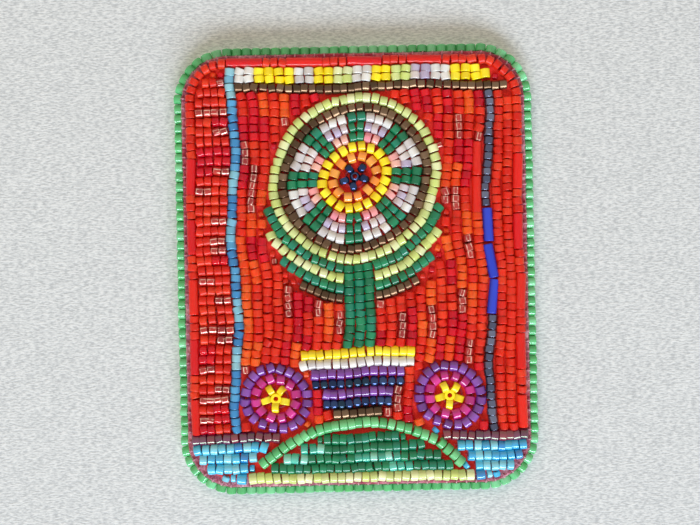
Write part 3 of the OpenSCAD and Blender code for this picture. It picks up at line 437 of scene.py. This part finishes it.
class Bead:
    """Place and size of a drilled bead or of a straight thread, read from its solid's triangles."""

    def __init__(self, triangles):
        facing = np.cross(triangles[:, 1] - triangles[:, 0], triangles[:, 2] - triangles[:, 0])
        areas = np.linalg.norm(facing, axis=1)
        middle = (triangles.mean(axis=1) * areas[:, None]).sum(axis=0) / areas.sum()
        # The least of the surface faces along the hole
        faced = np.einsum("ti,tj->ij", facing / np.maximum(areas, WELD ** 2)[:, None], facing)
        axis = np.linalg.eigh(faced)[1][:, 0]
        self.axis = axis if axis @ AXIS_SIDE > 0 else -axis
        corners = triangles.reshape(-1, 3)
        along = (corners - middle) @ self.axis
        across = np.linalg.norm(corners - middle - np.outer(along, self.axis), axis=1)
        self.centre = middle + self.axis * (along.min() + along.max()) / 2
        self.length = along.max() - along.min()
        self.radius = across.max()
        self.hole = across.min()


def turned(vector, angle_deg, about):
    return np.array(Matrix.Rotation(math.radians(angle_deg), 3, Vector(about))) @ vector


def wander(place):
    """Drift of the rows at a place, as hand sewing gives it: strings bend sideways along their way."""
    inside = min(place[0] - cad_low.x, cad_high.x - place[0], place[2] - cad_low.z, cad_high.z - place[2])
    fade = min(1.0, max(0.0, inside / WANDER_FADE - WANDER_STILL))
    drift = np.zeros(3)
    for reach, length in WANDERS:
        x, _, z = place / length * math.tau
        sideways = math.sin(z + WANDER_BEND * math.sin(x))
        upwards = math.sin(x + WANDER_BEND * math.cos(z))
        drift += fade * reach * np.array([sideways, 0.0, WANDER_UPWARDS * upwards])
    return drift


def side_of(axis):
    """Direction in the panel across the hole of a bead."""
    side = np.cross(axis, FRONT)
    length = np.linalg.norm(side)
    return side / length if length > LEAST_ACROSS else np.array([1.0, 0.0, 0.0])


def sew(bead, draw):
    """Leaves a bead as a hand would: drifted with its row, a little turned, uneven in size and proud."""
    full = bead.radius
    half = bead.axis * bead.length / 2
    start, end = (bead.centre + h + wander(bead.centre + h) for h in (-half, half))
    bead.centre = (start + end) / 2
    bead.axis = (end - start) / np.linalg.norm(end - start)
    side = side_of(bead.axis)
    bead.radius *= draw.uniform(*WIDTHS)
    bead.length *= draw.uniform(*LENGTHS)
    room = min(1.0, 2 * full / bead.length)
    bead.axis = turned(bead.axis, draw.gauss(0, TURN_DEG) * room, FRONT)
    bead.axis = turned(bead.axis, draw.gauss(0, TILT_DEG) * room, side)
    lift = draw.uniform(0, PROUD) - (full - bead.radius)
    bead.centre = bead.centre + side * draw.uniform(-SHIFT, SHIFT) + FRONT * lift


def sew_edging(bead, draw):
    """Leaves an edging bead a little turned. The beads at the corners are the larger ones, so that the
    row stays closed there."""
    panel_middle = (cad_low + cad_high) / 2
    outward = bead.axis if bead.axis @ (bead.centre - np.array(panel_middle)) > 0 else -bead.axis
    bead.axis = turned(outward, draw.gauss(0, EDGING_TURN_DEG), FRONT)
    bead.axis = turned(bead.axis, draw.gauss(0, EDGING_TILT_DEG), side_of(outward))
    bead.radius *= draw.uniform(*EDGING_SWELLS) + CORNER_SWELL * abs(2 * outward[0] * outward[2])


def tube_outline(bead):
    """Half outline of a drilled tube with rounded ends, from the hole to the wall, with its normals."""
    half = bead.length / 2
    bend = math.sqrt(0.5)
    points = [
        (bead.hole, half - BEAD_LIP), (bead.hole + BEAD_LIP, half), (bead.radius - BEAD_RIM, half),
        (bead.radius - BEAD_RIM * (1 - bend), half - BEAD_RIM * (1 - bend)), (bead.radius, half - BEAD_RIM),
    ]
    normals = [(-1.0, 0.0), (0.0, 1.0), (0.0, 1.0), (bend, bend), (1.0, 0.0)]
    return points, normals


def ball_outline(bead):
    """Half outline of a drilled ball, from the hole to half a step before its waist, with its normals."""
    start = math.asin(bead.length / 2 / bead.radius * BALL_REACH)
    half = bead.radius * math.sin(start)
    turns = [start * (1 - i / (BALL_STEPS - 0.5)) for i in range(BALL_STEPS)]
    points = [(bead.hole, half - BEAD_LIP), (bead.hole + BEAD_LIP / 2, half)]
    points += [(bead.radius * math.cos(t), bead.radius * math.sin(t)) for t in turns]
    normals = [(-1.0, 0.0), (0.0, 1.0)] + [(math.cos(t), math.sin(t)) for t in turns]
    return points, normals


def bead_arrays(bead, outline):
    """Points, point normals and local places of one bead, ring by ring along its outline."""
    half_points, half_normals = outline(bead)
    flip = np.array([1.0, -1.0])
    points = np.concatenate([half_points, half_points[::-1] * flip])
    normals = np.concatenate([half_normals, half_normals[::-1] * flip])
    turn = math.tau * np.arange(BEAD_SIDES) / BEAD_SIDES
    round_about = np.stack([np.cos(turn), np.sin(turn)], axis=1)
    wide = points[:, :1][:, :, None] * round_about[None]
    column = wide.shape[:2] + (1,)
    local = np.concatenate([wide, np.broadcast_to(points[:, 1][:, None, None], column)], axis=2)
    facing = np.concatenate([
        normals[:, :1][:, :, None] * round_about[None],
        np.broadcast_to(normals[:, 1][:, None, None], column)], axis=2)
    side = side_of(bead.axis)
    out = np.cross(side, bead.axis)
    basis = np.stack([out, side, bead.axis])
    return local.reshape(-1, 3) @ basis + bead.centre, facing.reshape(-1, 3) @ basis, local.reshape(-1, 3)


def ring_faces(rings):
    """Corner numbers of the faces between closed rings, with the last ring joined to the first."""
    ring = np.arange(rings)[:, None]
    step = np.arange(BEAD_SIDES)[None]
    after_ring = (ring + 1) % rings
    after_step = (step + 1) % BEAD_SIDES
    corners = [ring * BEAD_SIDES + step, after_ring * BEAD_SIDES + step,
               after_ring * BEAD_SIDES + after_step, ring * BEAD_SIDES + after_step]
    return np.stack(corners, axis=2).reshape(-1, 4)


def finished(piece, body, *nodes):
    """Rides a piece on a body, in place of CAD nodes, which it hides."""
    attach(piece, body)
    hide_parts(*nodes)


def new_piece(name, points, faces, material):
    mesh = bpy.data.meshes.new(name)
    mesh.from_pydata(points, [], faces)
    mesh.materials.append(material)
    piece = bpy.data.objects.new(name, mesh)
    bpy.context.scene.collection.objects.link(piece)
    return piece


def point_attribute(mesh, name, kind, field, values):
    """Gives the points of a mesh values, which come as one array for each bead or ring."""
    values = np.concatenate(values).astype(np.float32).ravel()
    mesh.attributes.new(name, kind, "POINT").data.foreach_set(field, values)


def make_beads(node):
    """One piece with every bead of a CAD node. Its points know their bead's tone, their place in the
    glass (grain) and how far across and along the bead they lie (lie)."""
    draw = random.Random(node)
    outline = ball_outline if SLOT_OF[node] == BALL_FINISH else tube_outline
    hand = sew_edging if node == "edging_beads" else sew
    swell = ROW_SWELLS.get(node.split("_")[0], 1.0)
    points, normals, grain, lie, tone, faces = [], [], [], [], [], []
    count = 0
    for triangles in separate_solids(node):
        bead = Bead(triangles)
        bead.radius *= swell
        hand(bead, draw)
        at, facing, local = bead_arrays(bead, outline)
        points.append(at)
        normals.append(facing)
        grain.append(local / MM + [draw.uniform(0, GRAIN_REACH) for _ in range(3)])
        lie.append(local[:, [1, 2, 0]] / [bead.radius, bead.length / 2, bead.radius])
        tone.append(np.full(len(at), draw.random()))
        faces.append(ring_faces(len(at) // BEAD_SIDES) + count)
        count += len(at)
    points, normals, faces = np.concatenate(points), np.concatenate(normals), np.concatenate(faces)
    piece = new_piece("sewn_" + node, points, faces.tolist(), BEAD_LOOKS[SLOT_OF[node]])
    mesh = piece.data
    point_attribute(mesh, "grain", "FLOAT_VECTOR", "vector", grain)
    point_attribute(mesh, "lie", "FLOAT_VECTOR", "vector", lie)
    point_attribute(mesh, "tone", "FLOAT", "value", tone)
    mesh.polygons.foreach_set("use_smooth", np.ones(len(faces), bool))
    mesh.normals_split_custom_set(normals[faces].reshape(-1, 3))
    finished(piece, "panel", node)


for bead_node, bead_slot in SLOT_OF.items():
    if bead_slot in BEAD_LOOKS:
        make_beads(bead_node)


# Cloth

felt_low, felt_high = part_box("felt_base")
leather_low, leather_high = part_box("leather_backing")
card_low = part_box("stiffener_card")[0]
PANEL_W = felt_high.x - felt_low.x
PANEL_H = felt_high.z - felt_low.z
PANEL_MIDDLE = (felt_low + felt_high) / 2


def rounded_ring(inset, scale):
    """Points round the panel's outline, inside it by an inset and then scaled about its middle."""
    side_x = PANEL_W / 2 - CORNER_R
    side_z = PANEL_H / 2 - CORNER_R
    radius = CORNER_R - inset
    corners = np.array([(side_x, side_z), (-side_x, side_z), (-side_x, -side_z), (side_x, -side_z)])
    points = []
    for quarter, corner in enumerate(corners):
        for i in range(CORNER_STEPS + 1):
            angle = math.pi / 2 * (quarter + i / CORNER_STEPS)
            points.append(corner + radius * np.array([math.cos(angle), math.sin(angle)]))
        run = corners[(quarter + 1) % len(corners)] - corner
        end = points[-1]
        points += [end + run * i / OUTLINE_STEPS for i in range(1, OUTLINE_STEPS)]
    return np.array(points) * scale


def cloth_mesh(name, rings, roughen, material, closed=True):
    """A sheet from rings (inset, scale, y). Closed, they run from the middle of the front, round the
    edge, to the middle of the back. Open, they run outwards from an opening in the middle.
    roughen is how far the surface is uneven."""
    draw = np.random.default_rng(CLOTH_SEED)
    points = []
    for inset, scale, y in rings:
        flat = rounded_ring(inset, scale)
        points.append(np.column_stack([flat[:, 0], np.full(len(flat), y), flat[:, 1]]))
    count = len(points[0])
    points = np.concatenate(points)
    points += draw.normal(0, 1, points.shape) * roughen
    points += [PANEL_MIDDLE.x, 0, PANEL_MIDDLE.z]
    faces = []
    for ring in range(len(rings) - 1):
        for i in range(count):
            after = (i + 1) % count
            faces.append((ring * count + i, (ring + 1) * count + i,
                          (ring + 1) * count + after, ring * count + after))
    if closed:
        faces.append(tuple(range(count)))
        faces.append(tuple(reversed(range((len(rings) - 1) * count, len(rings) * count))))
    piece = new_piece(name, points.tolist(), faces, material)
    piece.data.polygons.foreach_set("use_smooth", np.ones(len(faces), bool))
    return piece


def felt_material():
    """Red felt, made a brighter red to paint the glow that the red beads shed into the gaps between them.
    Along its open rim it is mauve, with pale pink stretches that are partly paler fuzz and partly painted
    sheen.
    """
    shader = Shader("pressed_felt", roughness=0.95, sheen_weight=0.4, sheen_roughness=0.45,
                    specular_ior_level=0.2)
    place = shader.place()
    fibres = shader.noise(place, 5200, 6.0, 0.7)
    clumps = shader.noise(place, 650, 4.0, 0.65)
    stretches = shader.noise(place, 60, 2.0)
    # The felt's red, brightened as painted glow from the red beads
    red_with_painted_glow = shader.ramp(fibres, [(0.3, rgb("cc1814")), (0.7, rgb("f23a2e"))])
    mauve_rim = shader.ramp(clumps, [(0.32, rgb("8c1c34")), (0.5, rgb("b43850")), (0.66, rgb("d27080"))])
    # Pale pink stretches of the rim: partly paler fuzz, partly painted sheen
    pale_rim_and_sheen = shader.ramp(clumps, [(0.32, rgb("84384a")), (0.5, rgb("ba7084")), (0.66, rgb("e6b2bc"))])
    rim = shader.mix(shader.ramp(stretches, [(0.42, rgb("000000")), (0.6, rgb("ffffff"))]), mauve_rim, pale_rim_and_sheen)
    colour = shader.mix(shader.attribute("rim", "Fac"), red_with_painted_glow, rim)
    shader.put("base_color", shader.shaded(colour, shader.between(fibres, 0.75, 1.2)))
    shader.bump(fibres, 0.25 * MM, 0.8)
    return shader.material


def fibre_material():
    shader = Shader("felt_fibre", roughness=0.9, sheen_weight=0.4, specular_ior_level=0.2)
    tone = shader.noise(shader.place(), 700, 2.0)
    stops = [(0.35, rgb("a83c56")), (0.5, rgb("bd5c74")), (0.68, rgb("dca0ac"))]
    shader.put("base_color", shader.ramp(tone, stops))
    return shader.material


def leather_material():
    shader = Shader("suede_leather", specular_ior_level=0.35, sheen_weight=0.25, sheen_roughness=0.5)
    place = shader.place()
    pores = shader.add("TexVoronoi", {"Vector": place, "Scale": 1300.0}, "Distance")
    patches = shader.noise(place, 130, 5.0, 0.6)
    nap = shader.noise(place, 3000, 5.0, 0.7)
    colour = shader.ramp(patches, [(0.3, rgb("5a3826")), (0.55, rgb("75492f")), (0.75, rgb("8a5c40"))])
    colour = shader.shaded(colour, shader.between(nap, 0.7, 1.3))
    shader.put("base_color", shader.shaded(colour, shader.between(pores, 0.75, 1.15)))
    shader.put("roughness", shader.between(nap, 0.6, 0.9))
    shader.bump(shader.mix(0.5, pores, nap), 0.25 * MM, 0.8)
    return shader.material


def card_material():
    shader = Shader("grey_card", roughness=0.9)
    flecks = shader.noise(shader.place(), 1800, 4.0)
    shader.put("base_color", shader.ramp(flecks, [(0.35, rgb("a89f8e")), (0.7, rgb("c4bcac"))]))
    return shader.material


def soft_edge(front, back, radius):
    """Rings of a rounded edge between two faces."""
    turns = [math.pi / 2 * i / EDGE_STEPS for i in range(EDGE_STEPS + 1)]
    first = [(radius * (1 - math.sin(t)), 1.0, front + radius * (1 - math.cos(t))) for t in turns]
    last = [(inset, 1.0, front + back - y) for inset, _, y in reversed(first)]
    return first + last


def make_felt():
    """Felt over the card, with a pocket behind for it."""
    front, back = felt_low.y, felt_high.y
    pocket = card_low.x - felt_low.x
    rings = [(INNER_INSET, scale, front - FELT_SWELL) for scale in FELT_FRONT_SCALES]
    rings += [(inset * MM, 1.0, front - FELT_SWELL) for inset in FELT_SWOLLEN_INSETS]
    rings += [(inset * MM, 1.0, front) for inset in FELT_FLAT_INSETS]
    rings += soft_edge(front, back, FELT_EDGE)
    rings += [(pocket, 1.0, back), (pocket, 1.0, card_low.y)]
    rings += [(INNER_INSET, scale, card_low.y) for scale in FELT_BACK_SCALES]
    piece = cloth_mesh("felt_sheet", rings, FELT_SOFTNESS, felt_material())
    count = len(piece.data.vertices) // len(rings)
    # Rings at the open rim take the mauve rim colour with its painted sheen
    rim = [np.full(count, inset < FELT_RIM) for inset, _, _ in rings]
    point_attribute(piece.data, "rim", "FLOAT", "value", rim)
    finished(piece, "panel", "felt_base")


def make_leather():
    front, back = leather_low.y, leather_high.y
    rings = [(INNER_INSET, scale, front) for scale in LEATHER_FRONT_SCALES]
    rings += soft_edge(front, back, LEATHER_EDGE)
    rings += [(inset * MM, 1.0, back) for inset in LEATHER_INSETS]
    rings += [(INNER_INSET, scale, back) for scale in LEATHER_BACK_SCALES]
    piece = cloth_mesh("leather_sheet", rings, LEATHER_SOFTNESS, leather_material())
    finished(piece, "panel", "leather_backing")


def fibre(start, way, length, draw):
    """Points and faces of a loose fibre: a thin bent spindle with a closed end at each tip."""
    side = np.cross(way, FRONT)
    bend = side * draw.gauss(0, FIBRE_BEND) + FRONT * draw.uniform(*FIBRE_LIFTS)
    points, faces = [start], []
    for t in FIBRE_RINGS:
        middle = start + (way + bend * t) * length * t
        for i in range(FIBRE_SIDES):
            turn = math.tau * i / FIBRE_SIDES
            points.append(middle + FIBRE_RADIUS * (side * math.cos(turn) + FRONT * math.sin(turn)))
    points.append(start + (way + bend) * length)
    last = len(points) - 1
    for i in range(FIBRE_SIDES):
        here, after = 1 + i, 1 + (i + 1) % FIBRE_SIDES
        faces += [(0, after, here), (here, after, after + FIBRE_SIDES, here + FIBRE_SIDES),
                  (here + FIBRE_SIDES, after + FIBRE_SIDES, last)]
    return points, faces


def make_fibres():
    """Loose fibres on the bare strip of felt between the edging and the border."""
    draw = random.Random("fibres")
    points, faces = [], []
    for _ in range(FIBRE_COUNT):
        ring = rounded_ring(draw.uniform(*FIBRE_INSETS) * MM, 1.0)
        step = draw.randrange(len(ring))
        x, z = ring[step - 1] + (ring[step] - ring[step - 1]) * draw.random()
        start = np.array([PANEL_MIDDLE.x + x, felt_low.y, PANEL_MIDDLE.z + z])
        heading = draw.uniform(0, math.tau)
        way = np.array([math.cos(heading), 0.0, math.sin(heading)])
        own_points, own_faces = fibre(start, way, draw.uniform(*FIBRE_LENGTHS) * MM, draw)
        faces += [tuple(i + len(points) for i in face) for face in own_faces]
        points += own_points
    piece = new_piece("felt_fibres", points, faces, fibre_material())
    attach(piece, "panel")


make_felt()
make_fibres()
make_leather()


# Thread

def thread_material(name, dark, light):
    shader = Shader(name, roughness=0.55, sheen_weight=0.3, sheen_roughness=0.4)
    fibres = shader.noise(shader.place(), 9000, 4.0, 0.6)
    shader.put("base_color", shader.ramp(fibres, [(0.35, rgb(dark)), (0.65, rgb(light))]))
    shader.bump(fibres, 0.03 * MM, 0.6)
    return shader.material


def ply(path, radius):
    """Points and faces of a two-ply thread along a path: its outline has two lobes and turns."""
    path = np.array(path)
    ahead = np.gradient(path, axis=0)
    ahead /= np.linalg.norm(ahead, axis=1)[:, None]
    reach = np.concatenate([[0], np.cumsum(np.linalg.norm(np.diff(path, axis=0), axis=1))])
    first = np.cross(ahead[0], PLY_START)
    points = []
    for at, way, run in zip(path, ahead, reach):
        first = first - way * (first @ way)
        first /= np.linalg.norm(first)
        second = np.cross(way, first)
        for i in range(PLY_SIDES):
            angle = math.tau * i / PLY_SIDES
            lobe = PLY_LOBE * math.cos(2 * (angle - math.tau * run / PLY_TWIST / 2))
            reach_out = radius * (1 - PLY_LOBE + lobe)
            points.append(at + reach_out * (first * math.cos(angle) + second * math.sin(angle)))
    faces = []
    for ring in range(len(path) - 1):
        for i in range(PLY_SIDES):
            after = (i + 1) % PLY_SIDES
            faces.append((ring * PLY_SIDES + i, ring * PLY_SIDES + after,
                          (ring + 1) * PLY_SIDES + after, (ring + 1) * PLY_SIDES + i))
    faces.append(tuple(reversed(range(PLY_SIDES))))
    faces.append(tuple(range((len(path) - 1) * PLY_SIDES, len(path) * PLY_SIDES)))
    return points, faces


def make_threads(name, node, paths, radius, material):
    """One piece with a thread along each path, in place of a CAD node."""
    points, faces = [], []
    for path in paths:
        own_points, own_faces = ply(path, radius)
        faces += [tuple(i + len(points) for i in face) for face in own_faces]
        points += own_points
    piece = new_piece(name, points, faces, material)
    piece.data.polygons.foreach_set("use_smooth", np.ones(len(faces), bool))
    finished(piece, "panel", node)


def stitch_path(thread, draw):
    """A stitch from the cloth's edge inwards: it rises a little and dives in at its inner end."""
    middle = np.array(PANEL_MIDDLE)
    inward = thread.axis if thread.axis @ (middle - thread.centre) > 0 else -thread.axis
    away = FRONT if thread.centre[1] < middle[1] else -FRONT
    slant = side_of(inward) * draw.gauss(0, STITCH_SLANT)
    length = thread.length * draw.uniform(*STITCH_LENGTHS)
    path = []
    for i in range(STITCH_STEPS + 1):
        t = i / STITCH_STEPS
        dive = max(0.0, t - (1 - STITCH_DIVE)) / STITCH_DIVE
        rise = thread.radius * (STITCH_RISE * math.sin(math.pi * t) - STITCH_DEPTH * dive ** 2)
        path.append(thread.centre + (inward + slant) * (t - 0.5) * length + away * rise)
    return path


def loop_path(triangles):
    """Half ring of a sewing loop, from the bar's hole over its edge to the leather."""
    low, high = triangles.min(axis=(0, 1)), triangles.max(axis=(0, 1))
    radius = (high[0] - low[0]) / 2
    reach = (high[2] - low[2]) / 2 - radius
    middle = (low + high) / 2
    turns = [math.pi * i / LOOP_STEPS for i in range(LOOP_STEPS + 1)]
    path = [(middle[0], low[1] + reach * math.sin(t), middle[2] + reach * math.cos(t)) for t in turns]
    return path, radius


RED_THREAD = thread_material("red_thread", "7c1022", "b42c42")
PALE_THREAD = thread_material("pale_thread", "a05068", "e4b4c2")
BLACK_THREAD = thread_material("black_thread", "1c191a", "3d3839")
stitch_draw = random.Random("stitches")
stitches = [Bead(triangles) for triangles in separate_solids("edge_stitches")]
make_threads("edge_stitch_threads", "edge_stitches", [stitch_path(s, stitch_draw) for s in stitches],
             stitches[0].radius, PALE_THREAD)
loops = [loop_path(triangles) for triangles in separate_solids("bar_stitches")]
make_threads("bar_stitch_threads", "bar_stitches", [path for path, _ in loops], loops[0][1], BLACK_THREAD)


# Pieces that stay as the frame has them

def steel_material():
    shader = Shader("nickel_plate", metallic=1.0)
    place = shader.place()
    brushed = shader.noise(shader.stretched(place, (0.08, 1.0, 1.0)), 9000, 3.0, 0.6)
    haze = shader.noise(place, 400, 3.0)
    shader.put("base_color", shader.ramp(haze, [(0.3, rgb("9a9895")), (0.7, rgb("bfbdba"))]))
    shader.put("roughness", shader.between(brushed, 0.14, 0.36))
    shader.bump(brushed, 0.01 * MM, 0.5)
    return shader.material


def dress(node, material, edge=0.0):
    """Gives a CAD node a material, and rounds its sharp edges where edge is set."""
    shown = frame["nodes"][node]
    shown.data.materials.clear()
    shown.data.materials.append(material)
    if edge:
        weld = shown.modifiers.new("weld", "WELD")
        weld.merge_threshold = WELD
        flats = shown.modifiers.new("flats", "DECIMATE")
        flats.decimate_type = "DISSOLVE"
        flats.angle_limit = math.radians(FLAT_DEG)
        rounding = shown.modifiers.new("rounding", "BEVEL")
        rounding.width = edge
        rounding.segments = STEEL_EDGE_STEPS
        rounding.limit_method = "ANGLE"
        rounding.angle_limit = math.radians(SHARP_DEG)


STEEL = steel_material()
for pin_node in ("pin_bar", "hinge_rivet", "pin_stem", "catch_tube", "catch_lock"):
    dress(pin_node, STEEL, STEEL_EDGE)
dress("stiffener_card", card_material())
dress("sewing_threads", RED_THREAD)


# Stage

def table_material():
    """Pale pebbled sheet. From behind, and for lamps behind it, it isn't there."""
    shader = Shader("pale_sheet", roughness=0.6, specular_ior_level=0.3)
    place = shader.stretched(shader.place(), (0.3, 1.0, 1.0))
    grain = shader.noise(place, 3900, 2.0, 0.6)
    patches = shader.noise(place, 500, 2.0)
    colour = shader.ramp(grain, [(0.36, rgb("b3b7b9")), (0.5, rgb("c9cdce")), (0.64, rgb("dadddd"))])
    shader.put("base_color", shader.shaded(colour, shader.between(patches, 0.96, 1.04)))
    shader.bump(grain, 0.12 * MM, 0.6)
    unseen = shader.math("MAXIMUM", shader.add("NewGeometry", {}, "Backfacing"),
                         shader.add("LightPath", {}, "Is Shadow Ray"))
    clear = shader.add("BsdfTransparent", {})
    choice = shader.add("MixShader", {0: unseen, 1: shader.surface.outputs[0], 2: clear})
    shader.tree.links.new(choice, shader.tree.nodes["Material Output"].inputs["Surface"])
    return shader.material


table_y = leather_high.y + TABLE_GAP
table_rings = [(OPENING_INSET, 1.0, table_y), (0.0, 1.0, table_y), (0.0, TABLE_SCALE, table_y)]
cloth_mesh("table", table_rings, 0.0, table_material(), closed=False)


def lamp(name, place, size, watts, tint, glints=True):
    """A soft lamp that faces the panel. Without glints, glossy surfaces don't mirror it."""
    data = bpy.data.lights.new(name, "AREA")
    data.shape = "RECTANGLE"
    data.size, data.size_y = size
    data.energy = watts
    data.color = rgb(tint)[:3]
    light = bpy.data.objects.new(name, data)
    light.location = place
    light.rotation_mode = "QUATERNION"
    light.rotation_quaternion = (PANEL_MIDDLE - light.location).to_track_quat("-Z", "Y")
    light.visible_glossy = glints
    bpy.context.scene.collection.objects.link(light)


lamp("window", place=(0.15, -0.8, -1.35), size=(1.5, 0.36), watts=36.0, tint="e2efff")
lamp("room", place=(-0.5, -1.5, 0.9), size=(1.5, 1.5), watts=16.5, tint="ffedd8", glints=False)
lamp("behind", place=(-0.25, 0.45, 0.2), size=(0.4, 0.4), watts=3.2, tint="ffffff")


def make_world():
    """Dim light from all round. Seen directly, mirrored or through glass, the world is a pale backdrop."""
    world = bpy.data.worlds.new("world")
    bpy.context.scene.world = world
    world.use_nodes = True
    nodes = world.node_tree.nodes
    links = world.node_tree.links
    fill = nodes["Background"]
    fill.inputs["Color"].default_value = rgb(FILL_TONE)
    fill.inputs["Strength"].default_value = FILL_STRENGTH
    pale = nodes.new("ShaderNodeBackground")
    pale.inputs["Color"].default_value = rgb(PALE_TONE)
    path = nodes.new("ShaderNodeLightPath")
    pick = nodes.new("ShaderNodeMixShader")
    seen = path.outputs["Is Camera Ray"]
    for ray in ("Is Glossy Ray", "Is Transmission Ray"):
        either = nodes.new("ShaderNodeMath")
        either.operation = "MAXIMUM"
        links.new(seen, either.inputs[0])
        links.new(path.outputs[ray], either.inputs[1])
        seen = either.outputs[0]
    for socket, output in enumerate((seen, fill.outputs[0], pale.outputs[0])):
        links.new(output, pick.inputs[socket])
    links.new(pick.outputs[0], nodes["World Output"].inputs["Surface"])


def place_camera():
    """A camera square to the panel, a little rolled, with the panel's middle at its pixel."""
    data = bpy.data.cameras.new("camera")
    data.lens = LENS_MM
    data.sensor_width = SENSOR_MM
    data.clip_start = CLIP_START
    camera = bpy.data.objects.new("camera", data)
    bpy.context.scene.collection.objects.link(camera)
    bpy.context.scene.camera = camera
    picture_w = PICTURE_W / PIXELS_PER_MM * MM
    distance = picture_w * LENS_MM / SENSOR_MM
    off_x = (PANEL_AT_PIXEL[0] - PICTURE_W / 2) / PIXELS_PER_MM * MM
    off_z = (PANEL_AT_PIXEL[1] - PICTURE_H / 2) / PIXELS_PER_MM * MM
    camera.location = (PANEL_MIDDLE.x - off_x, felt_low.y - distance, PANEL_MIDDLE.z + off_z)
    camera.rotation_euler = (math.radians(90), math.radians(ROLL_DEG), 0)


make_world()
place_camera()
bpy.context.scene.view_settings.view_transform = "Standard"
